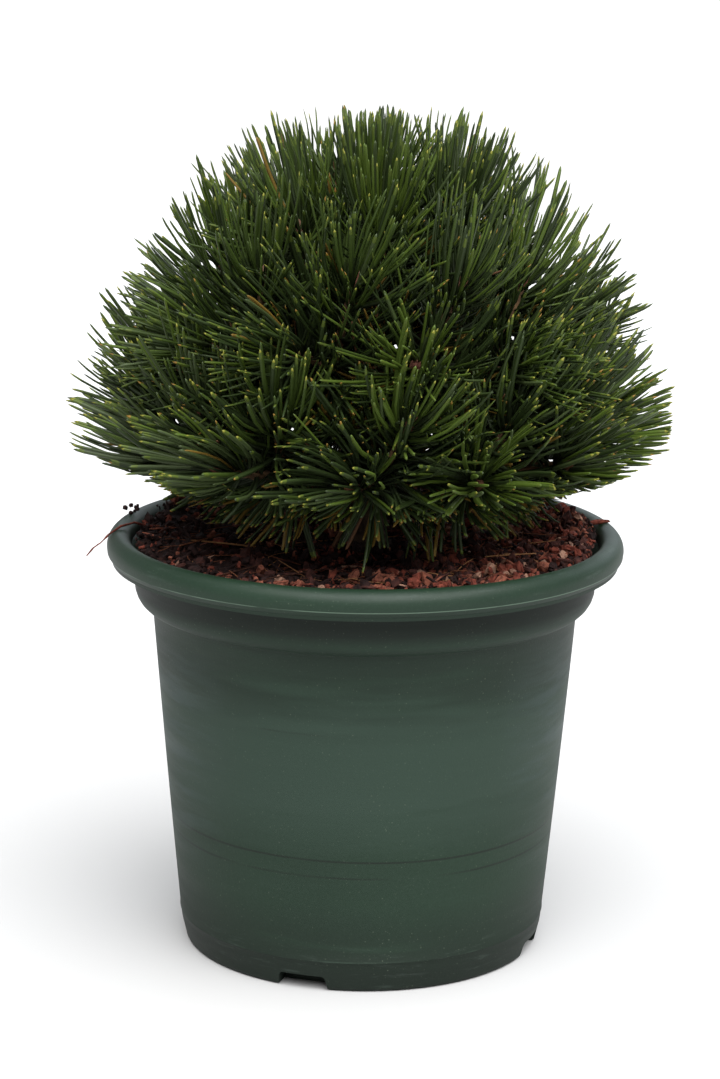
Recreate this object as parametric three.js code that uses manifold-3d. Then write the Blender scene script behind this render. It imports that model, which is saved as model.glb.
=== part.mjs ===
// A dwarf Bosnian pine, a dense dome of needle brushes, in its round nursery pot.
// Millimetres, +Z up. The origin is the middle of the pot's flat underside, and -Y faces the viewer.
// The pot stands on its foot ring. Soil fills it, a short trunk stands on the soil, boughs leave the
// trunk in whorls, and each bough ends 0.3 mm short of the stem of one mass of needled shoots.

import * as THREE from "three";
import { mergeVertices } from "three/addons/utils/BufferGeometryUtils.js";
import Module from "manifold-3d";

const wasm = await Module();
wasm.setup();

const UP = new THREE.Vector3(0, 0, 1);
const TAU = 2 * Math.PI;
const GOLDEN_ANGLE = Math.PI * (3 - Math.sqrt(5));
const SEAT_GAP = 0.3; // between pieces that touch

// Pot
const POT_HEIGHT = 212.5;
const RIM_RADIUS = 130;
const RIM_WIDTH = 12;
const RIM_HEIGHT = 14.5;
const LIP_CHANNEL_DEPTH = 5; // hollow under the rolled rim
const COLLAR_RADIUS = 116.6;
const COLLAR_BOTTOM = 174;
const COLLAR_ROUNDING = 11;
const BODY_TOP_RADIUS = 107;
const BODY_FOOT_RADIUS = 92.4;
const BODY_FOOT_HEIGHT = 13;
const WALL = 2.4;
const FLOOR_TOP = 5.5;
const FOOT_RADIUS = 88.5;
const FOOT_RING_INNER = 70;
const CENTRE_PAD_RADIUS = 24;
const UNDERSIDE_RECESS = 2.5;
const POT_SIDES = 40;
const DRAIN_SLOTS = 4;
const DRAIN_SLOT_WIDTH = 23;
const DRAIN_SLOT_HEIGHT = 8.5;
const DRAIN_SLOT_INNER = 80;
const FIRST_DRAIN_SLOT = -18.5; // degrees from the front

// Soil
const SOIL_LEVEL = 203;
const SOIL_RISE = 4; // where it is heaped against the rim
const SOIL_EDGE_DROP = 3.5;
const TRUNK_SEAT = 206;
const TRUNK_SEAT_RADIUS = 17;
const SOIL_SIDES = POT_SIDES / 2; // its corners stand in line with the pot's
const SOIL_RINGS = [44, 68, 88, 104];
const CHIP_COUNT = 9;

// Trunk and boughs
const TRUNK_SIDES = 10;
const TRUNK_TOP_RADIUS = 4.4;
const TRUNK_FOOT_RADIUS = 8.6;
const ROOT_FLARE = 5.5;
const ROOT_FLARE_HEIGHT = 9;
const TRUNK_LEAN = 3;
const TRUNK_BEND = 2.5;
const BOUGH_ROOT_RADIUS = 3.4;
const BOUGH_TIP_RADIUS = 2.4;
const BOUGH_SIDES = 5;
const BOUGH_STEPS = 3;
const BOUGH_LEVELS = 3; // neighbours on a whorl leave the trunk at different heights
const BOUGH_LEVEL_STEP = 10;

// Crown: a dome, as a superellipse of revolution, with an underside that rises outwards from the soil
const HEART = new THREE.Vector3(TRUNK_LEAN, 0, 235);
const DOME_CENTRE = new THREE.Vector3(TRUNK_LEAN, 0, 268);
const DOME_RADIUS = 142;
const DOME_HEIGHT = 159;
const DOME_POWER = 1.9;
const SKIRT = 11; // how much further the lowest needles reach
const SKIRT_LEVEL = 268;
const SKIRT_SPAN = 22;
const UNDERSIDE_LEVEL = 208;
const UNDERSIDE_START = 40; // distance from the axis where the underside starts to rise
const UNDERSIDE_SLOPE = 0.47;

// Shoots
const NEEDLE_BEYOND_BUD = 40; // how far the foremost needles stand past the bud
const SHOOT_LENGTH = 50; // fork to bud
const STEM_LENGTH = 12; // bough tip to fork
const SHOOT_SPREAD = 11.3; // degrees between a mass's axis and its shoots, where it has several
const SHOOT_SPIN = 53; // degrees from level to the first of them, round the axis
const SHOOT_JITTER = 2; // degrees

// Whorls from the soil up. Angles in degrees: elevation above the level, turn from the front to +X.
const WHORLS = [
  { name: "low", masses: 11, shoots: 2, elevation: 16, turn: 0, attach: 218 },
  { name: "mid", masses: 9, shoots: 2, elevation: 48, turn: -20, attach: 243 },
  { name: "high", masses: 6, shoots: 1, elevation: 71, turn: 6, attach: 268 },
  { name: "top", masses: 1, shoots: 1, elevation: 90, turn: 0, attach: 0 },
];

// A mass's needles stand out of a smaller core, a cushion that swells towards each bud. Its outside is a
// lattice of triangles laid in rings round the mass's axis, and a spike is drawn out of each one with room.
const CORE_DEPTH = 62; // from the dome's surface down to the core
const CORE_SWELL = 13; // how far it rises towards a bud
const CORE_SWELL_ANGLE = 6.5; // degrees from a bud where the swelling has fallen by two thirds
const CORE_ROUGHNESS = 1.5;
const CORE_LATTICE = 4; // rings
const CORE_WIDEST = 23; // degrees off the mass's axis
const CORE_FOOT = 8; // its point lies this far short of the fork
const BUD_SIDES = 4;
const BUD_RADIUS = 3;
const BARE_ROUND_BUD = 3.2; // degrees

// Spikes: each stands for a bundle of needles
const SPIKE_LENGTH = 53;
const SPIKE_THICKNESS = 5; // at its root
const SPIKE_TRIES = 9;
const SPIKE_TILT_NEAR = 8; // degrees off its own direction from the heart, close to a bud
const SPIKE_TILT_FAR = 50; // and midway between buds
const SPIKE_TILT_JITTER = 5;
const SPIKE_TURN_JITTER = 14;
const SPIKE_LEAN_STEP = 0.13; // each new try tilts it this share less
const SHORTEST_SPIKE = 0.55; // of the full length, past which a spike is left out
const SHARED_ROOT = 0.2; // share of a spike's length where it may be as close to its neighbours as it likes
const MASS_CLEARANCE = 0.8; // from a spike to the edge of its mass's space
const LIMB_CLEARANCE = 1.0;

const radians = THREE.MathUtils.degToRad;

// Materials

function finish(color, roughness) {
  return new THREE.MeshStandardMaterial({ color, roughness, metalness: 0, flatShading: true });
}

const POT_PLASTIC = finish(0x2f4637, 0.5);
const BARK_MULCH = finish(0x4a261c, 0.95);
const BARK = finish(0x4b3a30, 0.9);
const NEEDLES = finish(0x2e4a1f, 0.55);

// Random numbers from 0 to 1 that are the same in every run
function seeded(seed) {
  let state = seed >>> 0;
  return () => {
    state = (state + 0x6d2b79f5) >>> 0;
    let t = Math.imul(state ^ (state >>> 15), state | 1);
    t ^= t + Math.imul(t ^ (t >>> 7), t | 61);
    return ((t ^ (t >>> 14)) >>> 0) / 4294967296;
  };
}

// Solids

function solidFrom(positions, indices) {
  const made = new wasm.Manifold(
    new wasm.Mesh({
      numProp: 3,
      vertProperties: Float32Array.from(positions),
      triVerts: Uint32Array.from(indices),
    }),
  );
  return made;
}

function solidOf(geometry) {
  const bare = geometry.clone();
  bare.deleteAttribute("normal");
  bare.deleteAttribute("uv");
  const merged = mergeVertices(bare, 1e-3);
  const corners = [];
  for (let i = 0; i < merged.index.count; i += 3) {
    const [a, b, c] = [0, 1, 2].map((k) => merged.index.getX(i + k));
    if (a !== b && b !== c && a !== c) corners.push(a, b, c);
  }
  const made = solidFrom(merged.attributes.position.array, corners);
  if (made.volume() > 0) return made;
  for (let i = 0; i < corners.length; i += 3)
    [corners[i + 1], corners[i + 2]] = [corners[i + 2], corners[i + 1]];
  return solidFrom(merged.attributes.position.array, corners);
}

function geometryOf(solid) {
  const mesh = solid.getMesh();
  const positions = new Float32Array(mesh.numVert * 3);
  for (let i = 0; i < mesh.numVert; i++)
    positions.set(mesh.vertProperties.subarray(i * mesh.numProp, i * mesh.numProp + 3), i * 3);
  return new THREE.BufferGeometry()
    .setAttribute("position", new THREE.BufferAttribute(positions, 3))
    .setIndex(new THREE.BufferAttribute(mesh.triVerts, 1));
}

// A limb: rings of { centre, along, radius } joined in turn, closed at both ends
function limbSolid(rings, sides) {
  const positions = [];
  const indices = [];
  let normal = acrossFrom(rings[0].along);
  for (const { centre, along, radius } of rings) {
    normal = normal.clone().addScaledVector(along, -normal.dot(along)).normalize();
    const side = along.clone().cross(normal);
    for (let k = 0; k < sides; k++) {
      const angle = (TAU * k) / sides;
      const out = normal.clone().multiplyScalar(Math.cos(angle)).addScaledVector(side, Math.sin(angle));
      positions.push(...centre.clone().addScaledVector(out, radius).toArray());
    }
  }
  for (let i = 0; i + 1 < rings.length; i++)
    for (let k = 0; k < sides; k++) {
      const a = i * sides + k;
      const b = i * sides + ((k + 1) % sides);
      indices.push(a, b, a + sides, b, b + sides, a + sides);
    }
  const last = (rings.length - 1) * sides;
  for (let k = 1; k + 1 < sides; k++) {
    indices.push(0, k + 1, k);
    indices.push(last, last + k, last + k + 1);
  }
  return solidFrom(positions, indices);
}

// A direction at right angles to another one
function acrossFrom(direction) {
  const helper = Math.abs(direction.z) < 0.95 ? UP : new THREE.Vector3(1, 0, 0);
  return helper.clone().cross(direction).normalize();
}

// Pot

function bodyRadius(height) {
  const share = (height - BODY_FOOT_HEIGHT) / (COLLAR_BOTTOM - BODY_FOOT_HEIGHT);
  return THREE.MathUtils.lerp(BODY_FOOT_RADIUS, BODY_TOP_RADIUS, share);
}

// The soil's side and the pot's inner wall share this line, as [radius, height]
function innerWall() {
  const collar = COLLAR_RADIUS - WALL;
  return [
    [bodyRadius(FLOOR_TOP) - WALL - 1.5, FLOOR_TOP],
    [bodyRadius(FLOOR_TOP + 6) - WALL, FLOOR_TOP + 6],
    [bodyRadius(COLLAR_BOTTOM) - WALL, COLLAR_BOTTOM + 1],
    [collar, COLLAR_BOTTOM + COLLAR_ROUNDING],
    [collar, POT_HEIGHT - RIM_HEIGHT + 2],
  ];
}

function potProfile() {
  const rimBottom = POT_HEIGHT - RIM_HEIGHT;
  const rimMiddle = RIM_RADIUS - RIM_WIDTH / 2;
  const halfWide = RIM_WIDTH / 2;
  const halfTall = RIM_HEIGHT / 2;
  const points = [
    [0, 0],
    [CENTRE_PAD_RADIUS, 0],
    [CENTRE_PAD_RADIUS + 2, UNDERSIDE_RECESS],
    [FOOT_RING_INNER - 2, UNDERSIDE_RECESS],
    [FOOT_RING_INNER, 0],
    [FOOT_RADIUS, 0],
    [FOOT_RADIUS + 2.4, 3],
    [BODY_FOOT_RADIUS, BODY_FOOT_HEIGHT],
    [BODY_TOP_RADIUS, COLLAR_BOTTOM],
  ];
  // the collar's rounded lower edge
  const edge = COLLAR_RADIUS - BODY_TOP_RADIUS - 1.2;
  for (const degrees of [-75, -35, 0]) {
    const angle = radians(degrees);
    points.push([
      BODY_TOP_RADIUS + 1.2 + edge * Math.cos(angle),
      COLLAR_BOTTOM + COLLAR_ROUNDING * (1 + Math.sin(angle)),
    ]);
  }
  // the hollow under the rim, and the rim's outside from its lower lip over the top
  points.push(
    [COLLAR_RADIUS, rimBottom + LIP_CHANNEL_DEPTH],
    [RIM_RADIUS - 4.5, rimBottom + LIP_CHANNEL_DEPTH],
    [RIM_RADIUS - 4.5, rimBottom],
    [RIM_RADIUS - 1.8, rimBottom],
  );
  for (const degrees of [-20, 30, 80, 130, 180]) {
    const angle = radians(degrees);
    points.push([
      rimMiddle + halfWide * Math.cos(angle),
      rimBottom + halfTall + halfTall * Math.sin(angle),
    ]);
  }
  points.push(...innerWall().reverse(), [0, FLOOR_TOP]);
  return points.map(([radius, height]) => new THREE.Vector2(radius, height));
}

function drainSlot(index) {
  const half = DRAIN_SLOT_WIDTH / 2;
  const outline = new THREE.Shape([
    new THREE.Vector2(-half - 1.5, -1),
    new THREE.Vector2(half + 1.5, -1),
    new THREE.Vector2(half, DRAIN_SLOT_HEIGHT - 1.5),
    new THREE.Vector2(half - 1.5, DRAIN_SLOT_HEIGHT),
    new THREE.Vector2(-half + 1.5, DRAIN_SLOT_HEIGHT),
    new THREE.Vector2(-half, DRAIN_SLOT_HEIGHT - 1.5),
  ]);
  const depth = BODY_FOOT_RADIUS + 8 - DRAIN_SLOT_INNER;
  const turn = radians(FIRST_DRAIN_SLOT + (360 * index) / DRAIN_SLOTS);
  const cutter = new THREE.ExtrudeGeometry(outline, { depth, bevelEnabled: false })
    .rotateX(Math.PI / 2)
    .translate(0, -DRAIN_SLOT_INNER, 0)
    .rotateZ(turn);
  return solidOf(cutter);
}

function pot() {
  let solid = solidOf(new THREE.LatheGeometry(potProfile(), POT_SIDES).rotateX(Math.PI / 2));
  for (let i = 0; i < DRAIN_SLOTS; i++) solid = solid.subtract(drainSlot(i));
  return solid;
}

// Soil

// Height of the soil: a flat seat under the trunk, waves, heaps against the rim, and a drop at the wall
function soilHeight(radius, angle) {
  if (radius <= TRUNK_SEAT_RADIUS) return TRUNK_SEAT;
  const wave = 1.3 * Math.sin(3 * angle + radius / 17) + 0.9 * Math.sin(7 * angle - radius / 11);
  const side = Math.sin(angle); // 1 at the back, -1 at the front
  const heap = SOIL_RISE * Math.max(0, 0.35 + 0.65 * side) * (radius / RIM_RADIUS) ** 2;
  return SOIL_LEVEL + wave + heap;
}

function soil() {
  const wall = innerWall();
  const [edgeRadius] = wall[wall.length - 1];
  const rings = [[TRUNK_SEAT_RADIUS, null], ...SOIL_RINGS.map((radius) => [radius, null])];
  rings.push([edgeRadius - SEAT_GAP, SOIL_LEVEL - SOIL_EDGE_DROP]);
  for (const [radius, height] of wall.slice(0, -1).reverse())
    rings.push([radius - SEAT_GAP, Math.max(height, FLOOR_TOP + SEAT_GAP)]);
  const positions = [0, 0, TRUNK_SEAT];
  for (const [radius, height] of rings)
    for (let k = 0; k < SOIL_SIDES; k++) {
      const angle = (TAU * k) / SOIL_SIDES;
      positions.push(radius * Math.cos(angle), radius * Math.sin(angle));
      positions.push(height ?? soilHeight(radius, angle));
    }
  positions.push(0, 0, FLOOR_TOP + SEAT_GAP);
  const indices = [];
  const next = (k) => (k + 1) % SOIL_SIDES;
  const lastRing = 1 + (rings.length - 1) * SOIL_SIDES;
  const foot = positions.length / 3 - 1;
  for (let k = 0; k < SOIL_SIDES; k++) {
    indices.push(0, 1 + k, 1 + next(k));
    indices.push(foot, lastRing + next(k), lastRing + k);
  }
  for (let i = 0; i + 1 < rings.length; i++)
    for (let k = 0; k < SOIL_SIDES; k++) {
      const a = 1 + i * SOIL_SIDES + k;
      const b = 1 + i * SOIL_SIDES + next(k);
      indices.push(a, a + SOIL_SIDES, b, b, a + SOIL_SIDES, b + SOIL_SIDES);
    }
  return chips().reduce((whole, chip) => whole.add(chip), solidFrom(positions, indices));
}

// Bark chips half sunk in the soil
function chips() {
  const draw = seeded(7);
  const made = [];
  for (let i = 0; i < CHIP_COUNT; i++) {
    const angle = i * GOLDEN_ANGLE;
    const radius = 60 + 42 * Math.sqrt((i + 0.5) / CHIP_COUNT);
    const [long, wide, thick] = [9 + 7 * draw(), 4 + 3 * draw(), 2 + draw()];
    const chip = new THREE.BoxGeometry(long, wide, thick)
      .rotateX(radians(30 * (draw() - 0.5)))
      .rotateY(radians(30 * (draw() - 0.5)))
      .rotateZ(TAU * draw())
      .translate(
        radius * Math.cos(angle),
        radius * Math.sin(angle),
        soilHeight(radius, angle) + 0.2,
      );
    made.push(solidOf(chip));
  }
  return made;
}

// Plan of the plant: the places of its masses, boughs and shoots

function direction(turn, elevation) {
  const [a, e] = [radians(turn), radians(elevation)];
  return new THREE.Vector3(Math.sin(a) * Math.cos(e), -Math.cos(a) * Math.cos(e), Math.sin(e));
}

// 1 on the dome's surface, less inside it
function domeShare(point) {
  const radius = DOME_RADIUS + SKIRT * Math.exp(-(((point.z - SKIRT_LEVEL) / SKIRT_SPAN) ** 2));
  const across = Math.hypot(point.x - DOME_CENTRE.x, point.y - DOME_CENTRE.y) / radius;
  const above = Math.max(0, point.z - DOME_CENTRE.z) / DOME_HEIGHT;
  return (across ** DOME_POWER + above ** DOME_POWER) ** (1 / DOME_POWER);
}

function undersideHeight(point) {
  const across = Math.hypot(point.x - DOME_CENTRE.x, point.y - DOME_CENTRE.y);
  return UNDERSIDE_LEVEL + UNDERSIDE_SLOPE * Math.max(0, across - UNDERSIDE_START);
}

// Distance from the heart to the dome's surface along a direction
function reach(along) {
  let [near, far] = [0, 2 * DOME_RADIUS];
  for (let i = 0; i < 30; i++) {
    const middle = (near + far) / 2;
    if (domeShare(HEART.clone().addScaledVector(along, middle)) < 1) near = middle;
    else far = middle;
  }
  return near;
}

function trunkAxis(height) {
  const share = (height - TRUNK_SEAT) / (trunkTop() - TRUNK_SEAT);
  return new THREE.Vector3(TRUNK_LEAN * share, TRUNK_BEND * Math.sin(Math.PI * share), height);
}

function trunkTop() {
  return HEART.z + reach(UP) - NEEDLE_BEYOND_BUD - SHOOT_LENGTH - STEM_LENGTH;
}

function bezier({ start, control, end }, share) {
  return start
    .clone()
    .multiplyScalar((1 - share) ** 2)
    .addScaledVector(control, 2 * share * (1 - share))
    .addScaledVector(end, share ** 2);
}

function bezierAlong({ start, control, end }, share) {
  const [first, second] = [control.clone().sub(start), end.clone().sub(control)];
  return first.lerp(second, share).normalize();
}

// The shoots' directions round a mass's axis
function shootDirections(axis, shoots, draw) {
  const east = acrossFrom(axis);
  const north = axis.clone().cross(east);
  const spread = shoots > 1 ? SHOOT_SPREAD : 0;
  const made = [];
  for (let i = 0; i < shoots; i++) {
    const round = radians(SHOOT_SPIN + (360 * i) / shoots);
    const tilt = Math.tan(radians(spread + SHOOT_JITTER * (2 * draw() - 1)));
    made.push(
      axis
        .clone()
        .addScaledVector(east, tilt * Math.cos(round))
        .addScaledVector(north, tilt * Math.sin(round))
        .normalize(),
    );
  }
  return made;
}

function planMasses() {
  const draw = seeded(41);
  const masses = [];
  for (const whorl of WHORLS)
    for (let i = 0; i < whorl.masses; i++) {
      const jitter = whorl.masses > 1 ? SHOOT_JITTER : 0;
      const turn = whorl.turn + (360 * i) / whorl.masses + jitter * (2 * draw() - 1);
      const axis = direction(turn, whorl.elevation + jitter * (2 * draw() - 1));
      const name = whorl.masses > 1 ? `${whorl.name}_${String(i + 1).padStart(2, "0")}` : whorl.name;
      const budDistance = reach(axis) - NEEDLE_BEYOND_BUD;
      const forkDistance = budDistance - SHOOT_LENGTH;
      const fork = HEART.clone().addScaledVector(axis, forkDistance);
      const tip = HEART.clone().addScaledVector(axis, forkDistance - STEM_LENGTH);
      const ways = shootDirections(axis, whorl.shoots, draw);
      const shoots = ways.map((way) => {
        const end = HEART.clone().addScaledVector(way, reach(way) - NEEDLE_BEYOND_BUD);
        const control = fork.clone().addScaledVector(axis, SHOOT_LENGTH * 0.45);
        return { start: fork, control, end, way };
      });
      const attach = whorl.attach + BOUGH_LEVEL_STEP * (i % BOUGH_LEVELS);
      masses.push({ name, axis, fork, tip, shoots, attach });
    }
  return masses;
}

// Trunk and boughs

function trunkHeights() {
  const foot = TRUNK_SEAT + SEAT_GAP;
  return [foot, foot + 3, foot + ROOT_FLARE_HEIGHT, 228, 248, 268, 288, 308, trunkTop()];
}

function trunkRadius(height) {
  const share = (height - TRUNK_SEAT) / (trunkTop() - TRUNK_SEAT);
  const flare = Math.max(0, 1 - (height - TRUNK_SEAT) / ROOT_FLARE_HEIGHT);
  return THREE.MathUtils.lerp(TRUNK_FOOT_RADIUS, TRUNK_TOP_RADIUS, share) + ROOT_FLARE * flare ** 2;
}

function trunk(grow = 0) {
  const rings = trunkHeights().map((height) => ({
    centre: trunkAxis(height),
    along: UP,
    radius: trunkRadius(height) + grow,
  }));
  return limbSolid(rings, TRUNK_SIDES);
}

function boughRings(mass) {
  const start = trunkAxis(mass.attach);
  const span = mass.tip.distanceTo(start);
  const curve = { start, control: mass.tip.clone().addScaledVector(mass.axis, -0.5 * span), end: mass.tip };
  return Array.from({ length: BOUGH_STEPS + 1 }, (_, i) => ({
    centre: bezier(curve, i / BOUGH_STEPS),
    along: bezierAlong(curve, i / BOUGH_STEPS),
    radius: THREE.MathUtils.lerp(BOUGH_ROOT_RADIUS, BOUGH_TIP_RADIUS, i / BOUGH_STEPS),
  }));
}

function bough(mass) {
  return limbSolid(boughRings(mass), BOUGH_SIDES).subtract(trunk(SEAT_GAP));
}

// Masses of needled shoots

function stem(mass) {
  const rings = [mass.tip.clone().addScaledVector(mass.axis, SEAT_GAP), mass.fork].map((centre) => ({
    centre,
    along: mass.axis,
    radius: BOUGH_TIP_RADIUS,
  }));
  return limbSolid(rings, BOUGH_SIDES);
}

// Least distance between the segments a-b and c-d, with the share along each where it is
function closest(a, b, c, d) {
  const [u, v, w] = [b.clone().sub(a), d.clone().sub(c), a.clone().sub(c)];
  const [uu, uv, vv, uw, vw] = [u.dot(u), u.dot(v), v.dot(v), u.dot(w), v.dot(w)];
  const clamp = (value) => THREE.MathUtils.clamp(value, 0, 1);
  const parallel = uu * vv - uv * uv;
  let s = parallel > 1e-9 ? clamp((uv * vw - vv * uw) / parallel) : 0.5;
  const t = clamp((uv * s + vw) / vv);
  s = clamp((uv * t - uw) / uu);
  const gap = w.addScaledVector(u, s).addScaledVector(v, -t).length();
  return { gap, s, t };
}

// True if a point keeps to the mass's own wedge of the crown, and above the underside
function inOwnSpace(point, mass, masses, margin) {
  const from = point.clone().sub(HEART);
  for (const other of masses) {
    if (other === mass) continue;
    const across = mass.axis.clone().sub(other.axis).normalize();
    if (from.dot(across) < margin) return false;
  }
  return point.z > undersideHeight(point);
}

function touchesLimb(root, tip, limbs) {
  return limbs.some((rings) =>
    rings.some(({ centre, radius }, i) => {
      if (i === 0) return false;
      const { gap, s } = closest(root, tip, rings[i - 1].centre, centre);
      return gap < radius + (SPIKE_THICKNESS / 2) * (1 - s) + LIMB_CLEARANCE;
    }),
  );
}

// True if a spike would run into one that stands already, past their roots
function crosses(spike, standing) {
  const start = spike.root.clone().lerp(spike.tip, SHARED_ROOT);
  return standing.some((other) => {
    const otherStart = other.root.clone().lerp(other.tip, SHARED_ROOT);
    const { gap, s, t } = closest(start, spike.tip, otherStart, other.tip);
    return gap < (SPIKE_THICKNESS / 2) * (1 - SHARED_ROOT) * (2 - s - t);
  });
}

// The bud nearest to a direction, with the angle to it in degrees
function nearestBud(way, mass) {
  const angles = mass.shoots.map((shoot) => shoot.way.angleTo(way));
  const least = Math.min(...angles);
  return { bud: mass.shoots[angles.indexOf(least)].way, angle: THREE.MathUtils.radToDeg(least) };
}

// A spike from a facet's middle, fanned away from the nearest bud, or null if it finds no room
function findSpike(root, space, draw) {
  const { mass, masses, limbs, standing } = space;
  const outward = root.clone().sub(HEART).normalize();
  const { bud, angle } = nearestBud(outward, mass);
  if (angle < BARE_ROUND_BUD) return null;
  const fan = outward.clone().sub(bud);
  fan.addScaledVector(outward, -fan.dot(outward)).normalize();
  const far = THREE.MathUtils.clamp(angle / SHOOT_SPREAD, 0, 1);
  const tiltHere = THREE.MathUtils.lerp(SPIKE_TILT_NEAR, SPIKE_TILT_FAR, far);
  for (let attempt = 0; attempt < SPIKE_TRIES; attempt++) {
    const lean = 1 - SPIKE_LEAN_STEP * attempt;
    const tilt = radians(tiltHere * lean + SPIKE_TILT_JITTER * (2 * draw() - 1));
    const turn = radians(SPIKE_TURN_JITTER * (1 + attempt) * (2 * draw() - 1));
    const way = fan
      .clone()
      .applyAxisAngle(outward, turn)
      .multiplyScalar(Math.sin(tilt))
      .addScaledVector(outward, Math.cos(tilt));
    const limit = 1 + 0.012 * (2 * draw() - 1);
    let length = SPIKE_LENGTH * (0.94 + 0.2 * draw());
    let tip = root.clone().addScaledVector(way, length);
    const fits = () => domeShare(tip) < limit && inOwnSpace(tip, mass, masses, MASS_CLEARANCE);
    while (!fits() && length > SHORTEST_SPIKE * SPIKE_LENGTH) {
      length -= 2;
      tip = root.clone().addScaledVector(way, length);
    }
    const spike = { root, tip };
    if (fits() && !touchesLimb(root, tip, limbs) && !crosses(spike, standing)) return spike;
  }
  return null;
}

function corePoint(way, mass, rough) {
  const { angle } = nearestBud(way, mass);
  const swell = CORE_SWELL * Math.exp(-((angle / CORE_SWELL_ANGLE) ** 2));
  return HEART.clone().addScaledVector(way, reach(way) - CORE_DEPTH + swell + rough);
}

// Directions off the mass's axis, turned round it by an angle, and tilted by a share of the room there
function latticeWays(mass, masses) {
  const east = acrossFrom(mass.axis);
  const north = mass.axis.clone().cross(east);
  const wayAt = (turn, tilt) =>
    mass.axis
      .clone()
      .multiplyScalar(Math.cos(tilt))
      .addScaledVector(east, Math.sin(tilt) * Math.cos(turn))
      .addScaledVector(north, Math.sin(tilt) * Math.sin(turn));
  const roomAt = (turn) => {
    let tilt = 0;
    while (tilt < radians(CORE_WIDEST)) {
      const point = corePoint(wayAt(turn, tilt), mass, 0);
      if (!inOwnSpace(point, mass, masses, MASS_CLEARANCE)) break;
      tilt += radians(0.2);
    }
    return tilt - radians(0.2);
  };
  const ways = [mass.axis.clone()];
  for (let ring = 1; ring <= CORE_LATTICE; ring++)
    for (let k = 0; k < 6 * ring; k++) {
      const turn = (TAU * k) / (6 * ring);
      ways.push(wayAt(turn, (roomAt(turn) * ring) / CORE_LATTICE));
    }
  return ways;
}

// Triangles of the lattice, as indices of its points, ring by ring
function latticeFacets() {
  const first = (ring) => (ring === 0 ? 0 : 1 + 3 * ring * (ring - 1));
  const at = (ring, k) => (ring === 0 ? 0 : first(ring) + (k % (6 * ring)));
  const facets = [];
  for (let ring = 1; ring <= CORE_LATTICE; ring++)
    for (let sector = 0; sector < 6; sector++)
      for (let k = 0; k < ring; k++) {
        const outer = sector * ring + k;
        const inner = sector * (ring - 1) + k;
        facets.push([at(ring, outer), at(ring, outer + 1), at(ring - 1, inner)]);
        if (k + 1 < ring) facets.push([at(ring - 1, inner), at(ring, outer + 1), at(ring - 1, inner + 1)]);
      }
  const rim = Array.from({ length: 6 * CORE_LATTICE }, (_, k) => at(CORE_LATTICE, k));
  return { facets, rim };
}

// The core with its spikes, one closed surface from the lattice down to the core's point
function needledCore(space, draw) {
  const { mass, masses, standing } = space;
  const { facets, rim } = latticeFacets();
  const points = latticeWays(mass, masses).map((way, i) => {
    const rough = rim.includes(i) ? 0 : CORE_ROUGHNESS * (2 * draw() - 1);
    return corePoint(way, mass, rough);
  });
  const foot = points.push(mass.fork.clone().addScaledVector(mass.axis, -CORE_FOOT)) - 1;
  const indices = [];
  rim.forEach((corner, k) => indices.push(rim[(k + 1) % rim.length], corner, foot));
  for (const corners of facets) {
    const root = corners.reduce((sum, i) => sum.add(points[i]), new THREE.Vector3()).divideScalar(3);
    const spike = findSpike(root, space, draw);
    if (!spike) {
      indices.push(...corners);
      continue;
    }
    standing.push(spike);
    const tip = points.push(spike.tip) - 1;
    corners.forEach((corner, j) => indices.push(corner, corners[(j + 1) % 3], tip));
  }
  return solidFrom(points.flatMap((point) => point.toArray()), indices);
}

// A twig from the fork to its bud, which swells a little before its point
function twig(shoot) {
  const rings = [
    [0.5, BUD_RADIUS * 0.7],
    [0.9, BUD_RADIUS],
    [1, BUD_RADIUS * 0.25],
  ].map(([share, radius]) => ({
    centre: bezier(shoot, share),
    along: bezierAlong(shoot, share),
    radius,
  }));
  return limbSolid(rings, BUD_SIDES);
}

function massSolid(mass, masses, limbs, seed) {
  const space = { mass, masses, limbs, standing: [] };
  const pieces = [stem(mass), needledCore(space, seeded(seed)), ...mass.shoots.map(twig)];
  const whole = wasm.Manifold.union(pieces);
  const bodies = whole.decompose().sort((a, b) => b.volume() - a.volume());
  return bodies[0];
}

// Assembly

function addNode(group, name, solid, material) {
  const mesh = new THREE.Mesh(geometryOf(solid), material);
  mesh.name = name;
  group.add(mesh);
}

const plant = new THREE.Group();
addNode(plant, "pot", pot(), POT_PLASTIC);
addNode(plant, "soil", soil(), BARK_MULCH);
addNode(plant, "trunk", trunk(), BARK);

const masses = planMasses();
const bearing = masses.filter((mass) => mass.attach > 0);
const limbs = bearing.map(boughRings);
limbs.push(trunkHeights().map((height) => ({ centre: trunkAxis(height), radius: trunkRadius(height) })));

for (const mass of bearing) addNode(plant, `bough_${mass.name}`, bough(mass), BARK);
masses.forEach((mass, i) => {
  addNode(plant, `shoots_${mass.name}`, massSolid(mass, masses, limbs, 100 + i), NEEDLES);
});

export default plant;
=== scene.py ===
"""Looks of a dwarf Bosnian pine, a dense dome of needle brushes, in its round green nursery pot.

Lengths are in millimetres until a mesh is made. +Z is up, and -Y faces the viewer.
The crown grows by the same seeded plan as the solids: whorls of masses round the crown's heart, a
bough to each, and one or two shoots on each mass that end in buds at nearly even depths under the dome.
"""

import math
from math import radians

import bpy
import numpy as np
from mathutils import Matrix


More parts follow.
